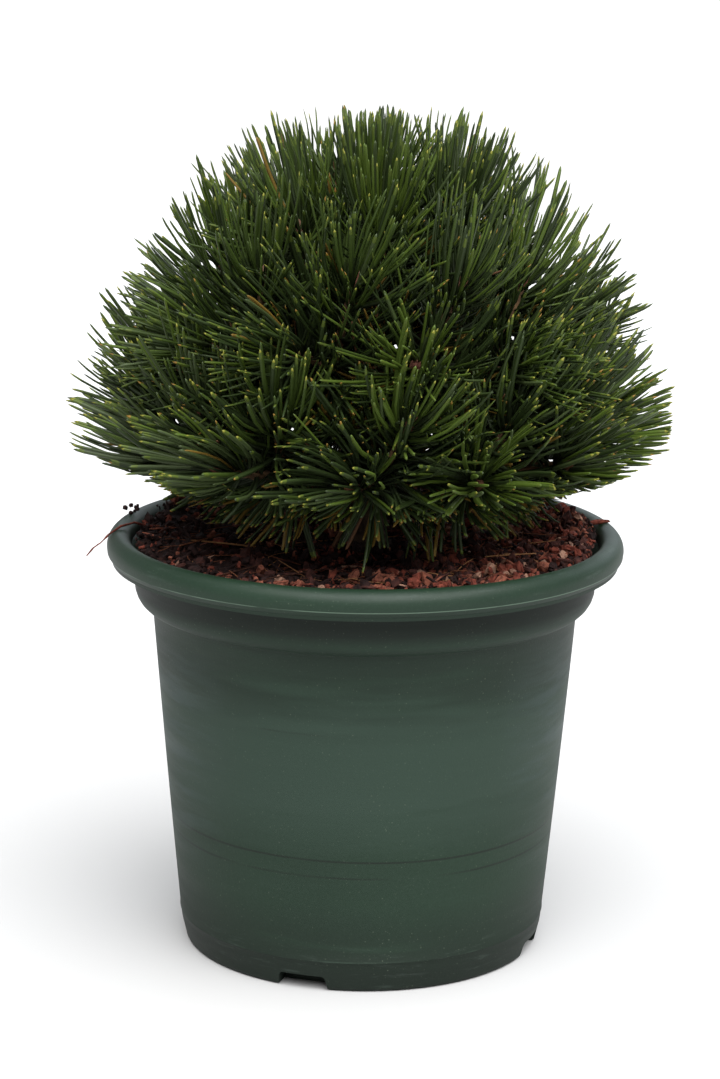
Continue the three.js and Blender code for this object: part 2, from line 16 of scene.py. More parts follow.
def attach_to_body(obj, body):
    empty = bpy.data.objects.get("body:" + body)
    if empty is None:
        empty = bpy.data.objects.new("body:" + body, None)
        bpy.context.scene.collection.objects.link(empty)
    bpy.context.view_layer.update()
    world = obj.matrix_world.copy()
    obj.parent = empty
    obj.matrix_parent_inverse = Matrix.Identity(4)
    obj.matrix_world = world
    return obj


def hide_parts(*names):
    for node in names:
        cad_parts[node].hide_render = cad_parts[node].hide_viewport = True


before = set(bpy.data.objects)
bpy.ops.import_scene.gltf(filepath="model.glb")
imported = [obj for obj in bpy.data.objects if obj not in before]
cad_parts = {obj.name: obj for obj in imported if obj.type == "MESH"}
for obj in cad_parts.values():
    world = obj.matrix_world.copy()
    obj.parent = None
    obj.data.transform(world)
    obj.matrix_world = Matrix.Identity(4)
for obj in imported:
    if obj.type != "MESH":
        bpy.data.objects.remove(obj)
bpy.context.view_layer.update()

MM = 0.001
TAU = 2 * math.pi
GOLDEN_ANGLE = math.pi * (3 - math.sqrt(5))
UP = np.array([0.0, 0.0, 1.0])

# Camera, in the photo's frame
PHOTO_HEIGHT = 1079
FOCAL_PIXELS = 3158
SENSOR = 36
CAMERA_PLACE = (-2.7, -1550, 572)
CAMERA_PITCH = 13.24  # degrees down
CAMERA_ROLL = 0.65  # degrees

# Light, in metres and degrees
FLOOR_HALF = 40_000  # in millimetres
SKY_STRENGTH = 0.42
SOFTBOX_PLACE = (0.9, 2.1, 1.4)
SOFTBOX_AIM = (0, 0, 0.22)
SOFTBOX_SIZE = (3.4, 1.6)
SOFTBOX_POWER = 28
SOFTBOX_COLOUR = (0.82, 0.9, 1)
OVERHEAD_POWER = 8.1
OVERHEAD_SPREAD = 72
OVERHEAD_TILT = (25, 7, 0)

# Pot
POT_HEIGHT = 212.5
RIM_RADIUS = 130
RIM_WIDTH = 12.4
RIM_HEIGHT = 14.6
RIM_BOTTOM = POT_HEIGHT - RIM_HEIGHT
LIP_CHANNEL = 5
LIP_THICKNESS = 4.2
COLLAR_RADIUS = 116.2
COLLAR_BOTTOM = 176
COLLAR_BULGE = 11
BODY_TOP_RADIUS = 107.2
BODY_FOOT_RADIUS = 92.8
BODY_FOOT_HEIGHT = 12
WALL = 2.4
FLOOR_TOP = 5.5
FOOT_RADIUS = 89.2
POT_SIDES = 192
WALL_WAVE = 0.35  # a moulded wall is never quite round
PARTING_LINE = 0.14  # how far it stands out
DRAIN_SLOTS = 4
DRAIN_SLOT_WIDTH = 24
DRAIN_SLOT_HEIGHT = 7.6
FIRST_DRAIN_SLOT = -18.5  # degrees from the front
DRAIN_SLOT_CORNER = 2.2
DRAIN_SLOT_FLARE = 1.6
DRAIN_SLOT_ENDS = (-79, -104)
SHARP_ANGLE = 38  # the pot's edges sharper than this stay crisp

# Soil
SOIL_LEVEL = 203
SOIL_RISE = 6
SOIL_EDGE = 113.6
SOIL_SIDES = 144
SOIL_RINGS = 46
SOIL_FOOT = 6.2
SOIL_ROUGHNESS = 1.1
TRUNK_SEAT = 206
TRUNK_SEAT_RADIUS = 17
RIM_HEAP = 4.5  # how far the mulch climbs the rim at the sides and the back
RIGHT_HEAP = 2.4  # and how much higher it lies on the right
FRONT_FALL = 3.2  # and how much lower it lies just inside the rim at the front
LITTER_EDGE = 116.5
CHIPS = 1300
BIG_CHIPS = 300
SPLINTERS = 420
CRUMBS = 3600
RIM_CRUMBS = 9
CHIP_SIDES = 5
CHIP_RINGS = ((-1, 0.75), (0.1, 1), (1, 0.7))  # level and width, as shares of half its size
RIGHT_SHARE = 0.2  # of the litter, strewn round this angle from +X, this wide, in radians
RIGHT_ANGLE = -0.3
RIGHT_WIDTH = 0.6
PEAT_SHARE = 0.55  # of the chips on the left, which are as dark as peat
FRESH_AND_LIT_SHARE = 0.6  # of the chips inside the rim at the front, which are brighter kinds: fresh red bark, and painted light against the crown's shadow
FALLEN_NEEDLES = 40
FIBRES = 240
FALLEN_ROOTS = 106  # how far out their roots lie
FALLEN_EDGE = 112  # and how far their tips reach

# Trunk and boughs
TRUNK_TOP_RADIUS = 4.4
TRUNK_FOOT_RADIUS = 8.6
ROOT_FLARE = 5.5
ROOT_FLARE_HEIGHT = 9
TRUNK_LEAN = 3
TRUNK_BEND = 2.5
BOUGH_ROOT_RADIUS = 3.4
BOUGH_TIP_RADIUS = 2.4
STEM_RADIUS = 2.4
BOUGH_LEVELS = 3
BOUGH_LEVEL_STEP = 10

# Crown
HEART = np.array([TRUNK_LEAN, 0.0, 235.0])
DOME_CENTRE = np.array([TRUNK_LEAN, 0.0, 268.0])
DOME_RADIUS = 142
DOME_HEIGHT = 159
DOME_POWER = 1.9
SKIRT = 11
SKIRT_LEVEL = 268
SKIRT_SPAN = 22
UNDERSIDE_LEVEL = 208
UNDERSIDE_START = 40
UNDERSIDE_SLOPE = 0.47
DROOP = 16  # how far below it some shoots hang
DROOP_EDGE = 102  # and the distance from the axis where none does
STRAY_SHARE = 0.22  # these needles may hang lower
STRAY_DROOP = 28
STRAY_EDGE = 118
NEEDLE_BEYOND_BUD = 40
SHOOT_LENGTH = 50
STEM_LENGTH = 12
SHOOT_SPREAD = 11.3  # degrees, as are the next two
SHOOT_SPIN = 53
SHOOT_JITTER = 2
# name, masses, shoots on each, elevation, turn, height where its boughs leave the trunk
WHORLS = (
    ("low", 11, 2, 16, 0, 218),
    ("mid", 9, 2, 48, -20, 243),
    ("high", 6, 1, 71, 6, 268),
    ("top", 1, 1, 90, 0, 0),
)

# Needles, in pairs
# pairs, how far back from the bud they start and end, pitch off the shoot there in degrees
NEEDLE_ZONES = (
    (34, 0, 10, 26, 66),
    (44, 10, 44, 64, 90),
    (17, 40, 60, 74, 98),
)
BUD_DEPTH_SPREAD = 6  # how far a bud may stand in or out of its even depth
LOW_BUD_LIFT = 7  # and how far the lowest ones turn up to the light
SHOOT_SAG = 9  # how far a level shoot sags before it turns up
SHOOT_RISE = 4  # and how far its bud rises
NEEDLE_RISE = 0.07  # how far a needle bends up, as a share of its length
NEEDLE_BEND = (0.1, 0.68)  # and how far along its shoot
NEEDLE_LENGTH = 52
INNER_LENGTH = 0.68  # share of it beside the bud
NEEDLE_WIDTH = 1.98
WIDTH_SPREAD = (0.7, 1.12)
LOW_AXIS = 0.5  # a mass is low when its axis rises less than this
LOW_WIDTH = 1.16  # and its needles are stouter by this
NEEDLE_THICKNESS = 0.7  # of its width
# share of the length, of the width
NEEDLE_RINGS = ((0, 0.7), (0.12, 0.95), (0.4, 1), (0.68, 1), (0.915, 0.92), (0.972, 0.72))
DARK_BANDS = 2  # the bands near the twig, in the shade of the others
NEEDLE_SIDES = 4
OLD_WOOD = 38  # this far back from the bud more needles are old or dead
PAIR_SPREAD = 0.045
PAIR_GAP = 0.45
TRIMS = 18  # times a needle is cut to this share of itself, until it stays in the crown
TRIM = 0.965
SHORTEST_NEEDLE = 0.55
MOST_REACH = 1.06  # of the dome
HIGHEST_TIP = 423  # over the ground
WIDEST_TIP = 153.5  # from the pot's axis
# Where sky shows right through the crown, across and up on the plane through the trunk
SKY_GAPS = ((14, 306), (25, 308), (6, 294), (35, 300), (72, 311), (81, 337), (92, 249))
SKY_GAPS += ((-37, 264), (-77, 346), (-95, 267))
SKY_GAP_RADIUS = 0.55
PIECE_TRIANGLES = 190_000  # at most, in one piece of needles

BUD_LENGTH = 10.5
BUD_RADIUS = 3.2


def mulberry(seed):
    """The source's random numbers, so that the shoots stand where the solids have them."""
    state = seed

    def draw():
        nonlocal state
        state = (state + 0x6D2B79F5) & 0xFFFFFFFF
        t = ((state ^ (state >> 15)) * (state | 1)) & 0xFFFFFFFF
        t ^= (t + (((t ^ (t >> 7)) * (t | 61)) & 0xFFFFFFFF)) & 0xFFFFFFFF
        return ((t ^ (t >> 14)) & 0xFFFFFFFF) / 4294967296

    return draw


def unit(vectors):
    return vectors / np.linalg.norm(vectors, axis=-1, keepdims=True)


def circle(radius, angle):
    """X and Y at a distance from the axis, one pair or many."""
    return np.stack([radius * np.cos(angle), radius * np.sin(angle)], -1)


def turns(sides):
    """Even angles all the way round."""
    return TAU * np.arange(sides) / sides


def level_ring(radius, angles, height):
    return np.column_stack([circle(radius, angles), np.full(len(angles), height)])


def across_from(way):
    helper = UP if abs(way[2]) < 0.95 else (1, 0, 0)
    return unit(np.cross(helper, way))


def smooth_noise(points, seed, scale):
    """A sum of sines in random directions: about -1 to 1, smooth, the same in every run."""
    rng = np.random.default_rng(seed)
    total = np.zeros(len(points))
    weight = 0
    for octave in range(3):
        strength = 0.55**octave
        for _ in range(6):
            way = unit(rng.normal(size=3)) * TAU / (scale * 0.5**octave)
            total += strength * np.sin(points @ way + rng.uniform(0, TAU))
            weight += strength
    return total / weight * 2.2


# Meshes


def add_object(name, data):
    obj = bpy.data.objects.new(name, data)
    bpy.context.scene.collection.objects.link(obj)
    return obj


def make_piece(name, points, corners, materials, slots=None, smooth=True):
    mesh = bpy.data.meshes.new(name)
    points = np.asarray(points, float).reshape(-1, 3)
    corners = np.asarray(corners, np.int32)
    count, sides = corners.shape
    mesh.vertices.add(len(points))
    mesh.vertices.foreach_set("co", (points * MM).astype(np.float32).ravel())
    mesh.loops.add(count * sides)
    mesh.loops.foreach_set("vertex_index", corners.ravel())
    mesh.polygons.add(count)
    mesh.polygons.foreach_set("loop_start", np.arange(0, count * sides, sides, dtype=np.int32))
    if slots is not None:
        mesh.polygons.foreach_set("material_index", np.asarray(slots, np.int32))
    mesh.polygons.foreach_set("use_smooth", np.full(count, smooth))
    mesh.update(calc_edges=True)
    for material in materials:
        mesh.materials.append(material)
    return add_object(name, mesh)


def dress(obj, nodes=()):
    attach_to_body(obj, "root")
    if nodes:
        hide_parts(*nodes)


def ring_faces(rings, sides):
    """Triangles between rings of points, each ring closed, ring after ring."""
    faces = []
    for start in range(0, (rings - 1) * sides, sides):
        for k in range(sides):
            a, b = start + k, start + (k + 1) % sides
            faces += [(a, b, a + sides), (b, b + sides, a + sides)]
    return faces


def caps(rings, sides):
    """Triangles that close the first ring and the last one from a corner of each."""
    top = (rings - 1) * sides
    faces = []
    for k in range(1, sides - 1):
        faces += [(0, k + 1, k), (top, top + k, top + k + 1)]
    return faces


def fan(middle, first, sides):
    """Triangles from a middle point to a closed ring of points."""
    return [(middle, first + (k + 1) % sides, first + k) for k in range(sides)]


def turned_over(faces):
    return [(a, c, b) for a, b, c in faces]


def many(template, points):
    """The faces of a template for each row of points."""
    starts = points.shape[1] * np.arange(len(points))
    return (template[None] + starts[:, None, None]).reshape(-1, 3)


def tube(centres, radii, sides, relief):
    """A closed tube round a path. relief(points) gives how far each point stands out."""
    centres = np.asarray(centres, float)
    alongs = unit(np.gradient(centres, axis=0))
    normal = across_from(alongs[0])
    points, outs = [], []
    for centre, along, radius in zip(centres, alongs, radii):
        normal = unit(normal - along * (normal @ along))
        out = circle(1, turns(sides)) @ np.stack([normal, np.cross(along, normal)])
        points.append(centre + out * radius)
        outs.append(out)
    points = np.vstack(points)
    points += np.vstack(outs) * relief(points)[:, None]
    last = len(points)
    faces = ring_faces(len(centres), sides) + fan(last, 0, sides)
    faces += turned_over(fan(last + 1, last - sides, sides))
    return np.vstack([points, centres[0], centres[-1]]), faces


def join_parts(parts):
    """Points and faces of several parts as one."""
    points, faces, start = [], [], 0
    for part_points, part_faces in parts:
        points.append(part_points)
        faces.append(np.asarray(part_faces, np.int32) + start)
        start += len(part_points)
    return np.vstack(points), np.vstack(faces)


# Materials


def rgba(colour):
    """A shader's colour, from the 0 to 255 values seen on a screen."""
    shares = [value / 255 for value in colour]
    return (*[s / 12.92 if s <= 0.04045 else ((s + 0.055) / 1.055) ** 2.4 for s in shares], 1)


class Look:
    """A material, and the nodes that shade it."""

    def __init__(self, name, colour, roughness=0.5, specular=0.25):
        self.material = bpy.data.materials.new(name)
        self.material.use_nodes = True
        self.nodes = self.material.node_tree.nodes
        self.links = self.material.node_tree.links
        self.shader = self.nodes["Principled BSDF"]
        self.colour = rgba(colour)
        self.shade("Base Color", self.colour)
        self.shade("Roughness", roughness)
        self.shade("Specular IOR Level", specular)

    def shade(self, name, value):
        self.feed(self.shader.inputs[name], value)

    def feed(self, socket, value):
        """Sets a socket, or links another node's output to it."""
        if isinstance(value, bpy.types.NodeSocket):
            self.links.new(value, socket)
        else:
            socket.default_value = value

    def node(self, kind, inputs, **settings):
        """A new node's outputs."""
        node = self.nodes.new("ShaderNode" + kind)
        for name, value in settings.items():
            setattr(node, name, value)
        for name, value in inputs.items():
            self.feed(node.inputs[name], value)
        return node.outputs

    def place(self, stretch=(1, 1, 1)):
        """Where a point of the object is, in metres, stretched."""
        own = self.node("TexCoord", {})["Object"]
        return self.node("Mapping", {"Vector": own, "Scale": stretch})["Vector"]

    def noise(self, vector, scale, detail, roughness=0.6):
        values = {"Vector": vector, "Scale": scale, "Detail": detail, "Roughness": roughness}
        return self.node("TexNoise", values)["Fac"]

    def ramp(self, factor, *stops):
        colour = self.node("ValToRGB", {"Fac": factor})["Color"]
        elements = colour.node.color_ramp.elements
        while len(elements) < len(stops):
            elements.new(0.5)
        for element, (place, shown) in zip(elements, stops):
            element.position = place
            element.color = rgba(shown)
        return colour

    def lay(self, factor, colour):
        """Lays a colour over the one so far, as far as the factor says."""
        inputs = {"Factor": factor, "A": self.colour, "B": rgba(colour)}
        self.colour = self.node("Mix", inputs, data_type="RGBA")["Result"]

    def spread(self, value, low, high, to_low, to_high):
        """Maps low to to_low and high to to_high, and nothing past them."""
        inputs = {"Value": value, "From Min": low, "From Max": high, "To Min": to_low, "To Max": to_high}
        return self.node("MapRange", inputs)["Result"]

    def maths(self, operation, first, second=0):
        return self.node("Math", {0: first, 1: second}, operation=operation)["Value"]

    def band(self, height, middle, half, soft):
        """1 within half of a height in millimetres, falling to 0 past a soft edge."""
        away = self.maths("ABSOLUTE", self.maths("SUBTRACT", height, middle))
        return self.spread(away, half, half + soft, 1, 0)

    def bump(self, height, strength, distance):
        inputs = {"Height": height, "Strength": strength, "Distance": distance}
        self.shade("Normal", self.node("Bump", inputs)["Normal"])


# Marks round the pot, with painted light and shade among them: height, half width, soft edge, colour,
# strength, scale and threshold of their gaps
POT_MARKS_AND_PAINTED_LIGHT = (
    (118, 22, 26, (41, 57, 48), 0.7, 5, 0.3),  # painted light: lighter round the middle, where the wall is lit most
    (162, 8, 26, (20, 34, 25), 0.8, 6, 0.34),  # painted shade: darker under the collar, in the rim's shadow
    (6, 6, 34, (15, 25, 18), 0.9, 6, 0.22),  # and painted shade towards the foot
    (69.5, 0.3, 0.4, (16, 26, 19), 0.9, 9, 0.38),  # two scratches round it
    (61, 0.3, 0.4, (16, 26, 19), 0.85, 11, 0.42),
    (134, 0.25, 0.4, (18, 28, 21), 0.7, 13, 0.52),  # and a shorter one
    (202.4, 0.16, 0.2, (104, 124, 108), 0.55, 26, 0.36),  # the parting line on the rim, painted lighter as a highlight along it
    (16.2, 0.15, 0.25, (66, 84, 72), 0.3, 22, 0.48),  # and the one above the foot, also painted lighter as a highlight
    (191, 4, 6, (10, 17, 13), 0.75, 5, 0.16),  # painted shade in the hollow under the lip
)
MARK_SWAY = 0.8  # how far the marks on the wall stray from level
SCUFF_LEVELS = ((6, 10, 10), (210, 3, 3))  # the foot and the rim: middle, half width, soft edge
LIP_LIGHT_SPAN = (0.1205, 0.1265)  # metres from the axis, over which the painted green of the lip's top inner edge fades: light through the thin plastic and the needles' reflection
WORN_AND_SHEEN_SIDES = (0.066, 0.092)  # metres to the left and right, over which the wall is paled by wear and by a painted sheen
WORN_AND_SHEEN_LEVEL = (112, 30, 34)  # as for the scuffs
DUST_SPECKS = ((300, 0.36), (520, 0.36))  # scale, strength
SPECK_EDGE = (0.04, 0.13)


def pot_plastic():
    """Moulded green plastic, clouded and brushed by handling, with scratches, dust and scuffs, and with
    painted shade, highlights and sheen.
    """
    look = Look("pot_plastic", (31, 46, 36), 0.6)
    place = look.place()
    round_wall = look.place((1, 1, 9))
    split = look.node("SeparateXYZ", {"Vector": place})
    level = look.maths("MULTIPLY", split["Z"], 1 / MM)
    brushed = look.noise(round_wall, 7, 7, 0.7)
    look.colour = look.ramp(look.noise(place, 9, 4), (0.3, (21, 38, 27)), (0.7, (25, 44, 31)))
    look.lay(look.spread(look.noise(place, 700, 3, 0.8), 0.4, 0.7, 0, 0.35), (36, 52, 42))
    look.lay(look.spread(brushed, 0.5, 0.85, 0, 0.5), (41, 56, 47))
    pot_marks_and_painted_light(look, place, round_wall, level)
    pot_wear_and_painted_light(look, split, round_wall, level)
    pot_dust(look, place)
    look.shade("Base Color", look.colour)
    # the rim is handled smooth, the wall is duller
    rim = look.spread(level, 190, 200, 0, 0.07)
    dull = look.spread(brushed, 0.35, 0.75, 0.54, 0.68)
    look.shade("Roughness", look.maths("SUBTRACT", dull, rim))
    grain = look.maths("ADD", look.noise(round_wall, 60, 4), look.noise(place, 900, 2))
    look.bump(grain, 0.1, 0.0006)
    return look.material


def pot_marks_and_painted_light(look, place, round_wall, level):
    sway = look.spread(look.noise(place, 5, 1), 0.3, 0.7, -MARK_SWAY, MARK_SWAY)
    swayed = look.maths("ADD", level, sway)
    # some marks are real, others are painted shade and painted highlights
    for height, half, soft, colour, strength, scale, threshold in POT_MARKS_AND_PAINTED_LIGHT:
        moulded = not 20 < height < 200
        mask = look.band(level if moulded else swayed, height, half, soft)
        breaks = look.noise(round_wall, scale, 3)
        shown = look.spread(breaks, threshold, threshold + 0.16, 0, strength)
        look.lay(look.maths("MULTIPLY", mask, shown), colour)


def pot_wear_and_painted_light(look, split, round_wall, level):
    """Pale scuffs on the foot and the rim, the lip's top edge painted green as light through the thin
    plastic and the needles' reflection, and sides paled by wear and a painted sheen.
    """
    foot, rim = [look.band(level, *span) for span in SCUFF_LEVELS]
    scuff = look.spread(look.noise(round_wall, 40, 7, 0.75), 0.56, 0.76, 0, 0.32)
    look.lay(look.maths("MULTIPLY", look.maths("ADD", foot, rim), scuff), (84, 96, 90))
    out = look.node("VectorMath", {0: look.place((1, 1, 0))}, operation="LENGTH")["Value"]
    # painted light: the lip's top inner edge deep green, as light through the thin plastic and the
    # needles' reflection
    inner = look.spread(out, *LIP_LIGHT_SPAN, 0.8, 0)
    look.lay(look.maths("MULTIPLY", inner, look.spread(level, 204, 208, 0, 1)), (14, 40, 16))
    # the left and right sides paled by wear and by a painted bluish sheen
    sides = look.spread(look.maths("ABSOLUTE", split["X"]), *WORN_AND_SHEEN_SIDES, 0, 0.55)
    patch = look.spread(look.noise(round_wall, 12, 7, 0.7), 0.46, 0.58, 0, 1)
    worn_and_sheen = look.maths("MULTIPLY", patch, look.band(level, *WORN_AND_SHEEN_LEVEL))
    look.lay(look.maths("MULTIPLY", sides, worn_and_sheen), (50, 64, 62))


def pot_dust(look, place):
    """Specks of dust, more of them here than there."""
    dusty = look.spread(look.noise(place, 30, 5, 0.75), 0.4, 0.64, 0.1, 1)
    for scale, strength in DUST_SPECKS:
        specks = look.node("TexVoronoi", {"Vector": place, "Scale": scale})["Distance"]
        dust = look.spread(specks, *SPECK_EDGE, strength, 0)
        look.lay(look.maths("MULTIPLY", dust, dusty), (104, 114, 98))


def grainy(name, colour, stops, grain, bump, stretch=(1, 1, 1), roughness=0.9, specular=0.2):
    """Dark and light grain that also stands out. Grain is its scale, detail and roughness."""
    look = Look(name, colour, roughness, specular)
    noise = look.noise(look.place(stretch), *grain)
    look.shade("Base Color", look.ramp(noise, *stops))
    look.bump(noise, *bump)
    return look.material


def peat():
    stops = (0.35, (22, 14, 14)), (0.55, (44, 27, 24)), (0.75, (80, 49, 42))
    return grainy("peat", (40, 24, 20), stops, (160, 6, 0.7), (0.9, 0.003), roughness=0.95)


def bark(name, dark, light):
    """Plates a few millimetres across, longer up the stem."""
    stops = (0.35, dark), (0.7, light)
    return grainy(name, dark, stops, (260, 5, 0.7), (0.7, 0.001), (1, 1, 0.35), specular=0.25)


def chip_bark(name, dark, light):
    """Broken bark, its grain a millimetre or so across."""
    return grainy(name, dark, ((0.36, dark), (0.66, light)), (330, 5, 0.72), (0.8, 0.001))


# Pot


def arc(out, height, width, rise, degrees):
    """Points of a section along an ellipse."""
    angles = np.radians(degrees)
    return zip(out + width * np.cos(angles), height + rise * np.sin(angles))


def pot_profile():
    """The pot's section, from the middle of its underside round the outside and down to its floor."""
    # the centre pad, the recess round it and the foot ring
    points = [(0.2, 0), (24, 0), (24.8, 0.5), (26, 2.5), (68, 2.5), (69.3, 0.5), (70, 0)]
    points += [(FOOT_RADIUS - 1, 0), *arc(FOOT_RADIUS - 1, 2.8, 2.6, 2.8, (-60, -30, 0))]
    points += [(BODY_FOOT_RADIUS - 0.3, 10), (BODY_FOOT_RADIUS, BODY_FOOT_HEIGHT)]
    # a faint raised mould line a little above the foot
    for height, out in ((15.2, 0), (15.6, 0.25), (16.2, 0.25), (16.6, 0)):
        points.append((body_radius(height) + out, height))
    heights = np.linspace(16.6, COLLAR_BOTTOM - 3, 13)[1:-1]
    points += zip(body_radius(heights), heights)
    points += [(BODY_TOP_RADIUS - 0.1, COLLAR_BOTTOM - 1.5), (BODY_TOP_RADIUS + 0.6, COLLAR_BOTTOM - 0.4)]
    # the collar's lower edge bulges out in a quarter round
    start = BODY_TOP_RADIUS + 1.2
    bulge = COLLAR_BOTTOM + COLLAR_BULGE
    points += arc(start, bulge, COLLAR_RADIUS - start, COLLAR_BULGE, range(-80, 1, 16))
    # the channel under the lip
    channel = RIM_BOTTOM + LIP_CHANNEL
    lip = RIM_RADIUS - LIP_THICKNESS
    points += [(COLLAR_RADIUS + 0.2, 194), (COLLAR_RADIUS + 0.3, channel - 0.6)]
    points += [(COLLAR_RADIUS + 1, channel), (lip - 0.8, channel), (lip, RIM_BOTTOM + 4)]
    points += [(lip, RIM_BOTTOM + 0.6), (lip + 0.5, RIM_BOTTOM), (RIM_RADIUS - 2.6, RIM_BOTTOM)]
    # the rolled rim, flatter below its middle, with the mould's parting line low on its outside
    middle, level = RIM_RADIUS - RIM_WIDTH / 2, RIM_BOTTOM + RIM_HEIGHT / 2
    for degrees in (-52, -40, -30, -24, -21, *range(-14, 181, 12)):
        across, up = circle(1, radians(degrees))
        flat = 1 if degrees > 0 else 0.88 + 0.12 * abs(across)
        seam = PARTING_LINE if degrees in (-24, -21) else 0
        points.append((middle + RIM_WIDTH / 2 * across + seam, level + RIM_HEIGHT / 2 * up * flat))
    inner = COLLAR_RADIUS - WALL
    points += [(inner + 1.2, 203.5), (inner, 201), (inner, COLLAR_BOTTOM + 10)]
    points += [(body_radius(COLLAR_BOTTOM) - WALL, COLLAR_BOTTOM + 1), (body_radius(11) - WALL, 11)]
    points += [(body_radius(6) - WALL - 1.5, FLOOR_TOP), (0.2, FLOOR_TOP)]
    return points


def body_radius(height):
    share = (height - BODY_FOOT_HEIGHT) / (COLLAR_BOTTOM - BODY_FOOT_HEIGHT)
    return BODY_FOOT_RADIUS + (BODY_TOP_RADIUS - BODY_FOOT_RADIUS) * share


def make_pot():
    profile = pot_profile()
    angles = turns(POT_SIDES)
    rings = []
    for radius, height in profile:
        wave = WALL_WAVE * np.sin(2 * angles + height / 60) * (12 < height < 170)
        rings.append(level_ring(radius + wave, angles, height))
    # the underside's middle and the floor's middle
    points = np.vstack([*rings, (0, 0, profile[0][1]), (0, 0, profile[-1][1])])
    under = len(points) - 2
    faces = ring_faces(len(profile), POT_SIDES) + fan(under, 0, POT_SIDES)
    faces += turned_over(fan(under + 1, under - POT_SIDES, POT_SIDES))
    pot = make_piece("pot_shell", points, faces, [pot_plastic()])
    cutter = slot_cutter()
    cut = pot.modifiers.new("drain_slots", "BOOLEAN")
    cut.operation = "DIFFERENCE"
    cut.solver = "FAST"
    cut.object = cutter
    bpy.context.view_layer.objects.active = pot
    bpy.ops.object.modifier_apply(modifier=cut.name)
    bpy.data.objects.remove(cutter, do_unlink=True)
    pot.data.polygons.foreach_set("use_smooth", np.full(len(pot.data.polygons), True))
    pot.data.set_sharp_from_angle(angle=radians(SHARP_ANGLE))
    dress(pot, ["pot"])


def slot_cutter():
    """Rounded slots through the pot's foot, as one mesh."""
    half, top, corner = DRAIN_SLOT_WIDTH / 2, DRAIN_SLOT_HEIGHT, DRAIN_SLOT_CORNER
    outline = [(-half - DRAIN_SLOT_FLARE, -2), (half + DRAIN_SLOT_FLARE, -2)]
    outline += arc(half - corner, top - corner, corner, corner, np.linspace(0, 90, 5))
    outline += arc(corner - half, top - corner, corner, corner, np.linspace(90, 180, 5))
    ends = np.array([(x, y, z) for y in DRAIN_SLOT_ENDS for x, z in outline])
    faces = ring_faces(2, len(outline)) + caps(2, len(outline))
    parts = []
    for i in range(DRAIN_SLOTS):
        turn = radians(FIRST_DRAIN_SLOT + 360 * i / DRAIN_SLOTS)
        parts.append((ends @ turned([turn], [0], [0])[0], faces))
    return make_piece("slot_cutter", *join_parts(parts), [], smooth=False)


# Soil and what lies on it


def soil_height(x, y):
    radius = np.hypot(x, y)
    angle = np.arctan2(y, x)
    wave = 1.3 * np.sin(3 * angle + radius / 17) + 0.9 * np.sin(7 * angle - radius / 11)
    wave = wave * np.clip((radius - TRUNK_SEAT_RADIUS) / 15, 0, 1)
    heap = SOIL_RISE * np.clip(0.3 + 0.7 * np.sin(angle), 0, 1) * (radius / RIM_RADIUS) ** 2
    height = SOIL_LEVEL + wave + heap
    seat = np.clip((radius - TRUNK_SEAT_RADIUS) / 14, 0, 1)
    height = TRUNK_SEAT + (height - TRUNK_SEAT) * seat
    climb = RIM_HEAP * np.clip((radius - 84) / 28, 0, 1) ** 2 * np.clip(1 + np.sin(angle), 0, 1)
    climb += RIGHT_HEAP * np.clip((radius - 60) / 40, 0, 1) * np.clip(np.cos(angle + 0.25), 0, 1) ** 4
    fall = np.clip((radius - 108) / 6, 0, 1) ** 2
    return height + climb - FRONT_FALL * fall * np.clip(0.3 - np.sin(angle), 0, 1)


def make_soil():
    angles = turns(SOIL_SIDES)
    radii = SOIL_EDGE * (np.arange(1, SOIL_RINGS + 1) / SOIL_RINGS) ** 0.8
    spots = np.vstack([circle(radius, angles) for radius in radii])
    points = np.column_stack([spots, soil_height(*spots.T)])
    rough = smooth_noise(points, 3, 26) + 0.7 * smooth_noise(points, 4, 9)
    inside = np.clip((SOIL_EDGE - np.hypot(*spots.T)) / 4, 0, 1)
    points[:, 2] += SOIL_ROUGHNESS * rough * inside
    # down inside the pot's wall to its floor
    below = [(SOIL_EDGE, 187), (body_radius(176) - WALL - 0.4, 176.6), (body_radius(11) - WALL - 0.5, 11)]
    points = np.vstack([points, *[level_ring(radius, angles, height) for radius, height in below]])
    top = len(points)
    points = np.vstack([points, (0, 0, TRUNK_SEAT), (0, 0, SOIL_FOOT)])
    faces = turned_over(ring_faces(SOIL_RINGS + len(below), SOIL_SIDES) + fan(top, 0, SOIL_SIDES))
    faces += fan(top + 1, top - SOIL_SIDES, SOIL_SIDES)
    dress(make_piece("soil_surface", points, faces, [peat()]), ["soil"])


def turned(yaw, pitch, roll):
    """Matrices that turn rows of points, from arrays of angles in radians."""
    made = np.eye(3)
    for angle, first, second in ((yaw, 0, 1), (pitch, 2, 0), (roll, 1, 2)):
        spin = np.tile(np.eye(3), (len(angle), 1, 1))
        spin[:, first, first] = spin[:, second, second] = np.cos(angle)
        spin[:, first, second] = np.sin(angle)
        spin[:, second, first] = -np.sin(angle)
        made = spin @ made
    return made


def chip_points(rng, count, long, wide, thick):
    """Ragged slabs round the origin: the rings of each from its underside up."""
    turn = TAU * (np.arange(CHIP_SIDES) + rng.uniform(-0.3, 0.3, (count, CHIP_SIDES))) / CHIP_SIDES
    length, width, depth = [rng.uniform(*span, (count, 1)) / 2 for span in (long, wide, thick)]
    cup = rng.uniform(-0.8, 0.8, (count, 1)) * depth
    rings = []
    for level, share in CHIP_RINGS:
        ragged = share * rng.uniform(0.7, 1.15, (count, CHIP_SIDES))
        x, y = np.cos(turn) * ragged, np.sin(turn) * ragged
        z = depth * (level + rng.uniform(-0.25, 0.25, (count, CHIP_SIDES))) + cup * x**2
        rings.append(np.stack([x * length, y * width, z], -1))
    return np.concatenate(rings, 1)


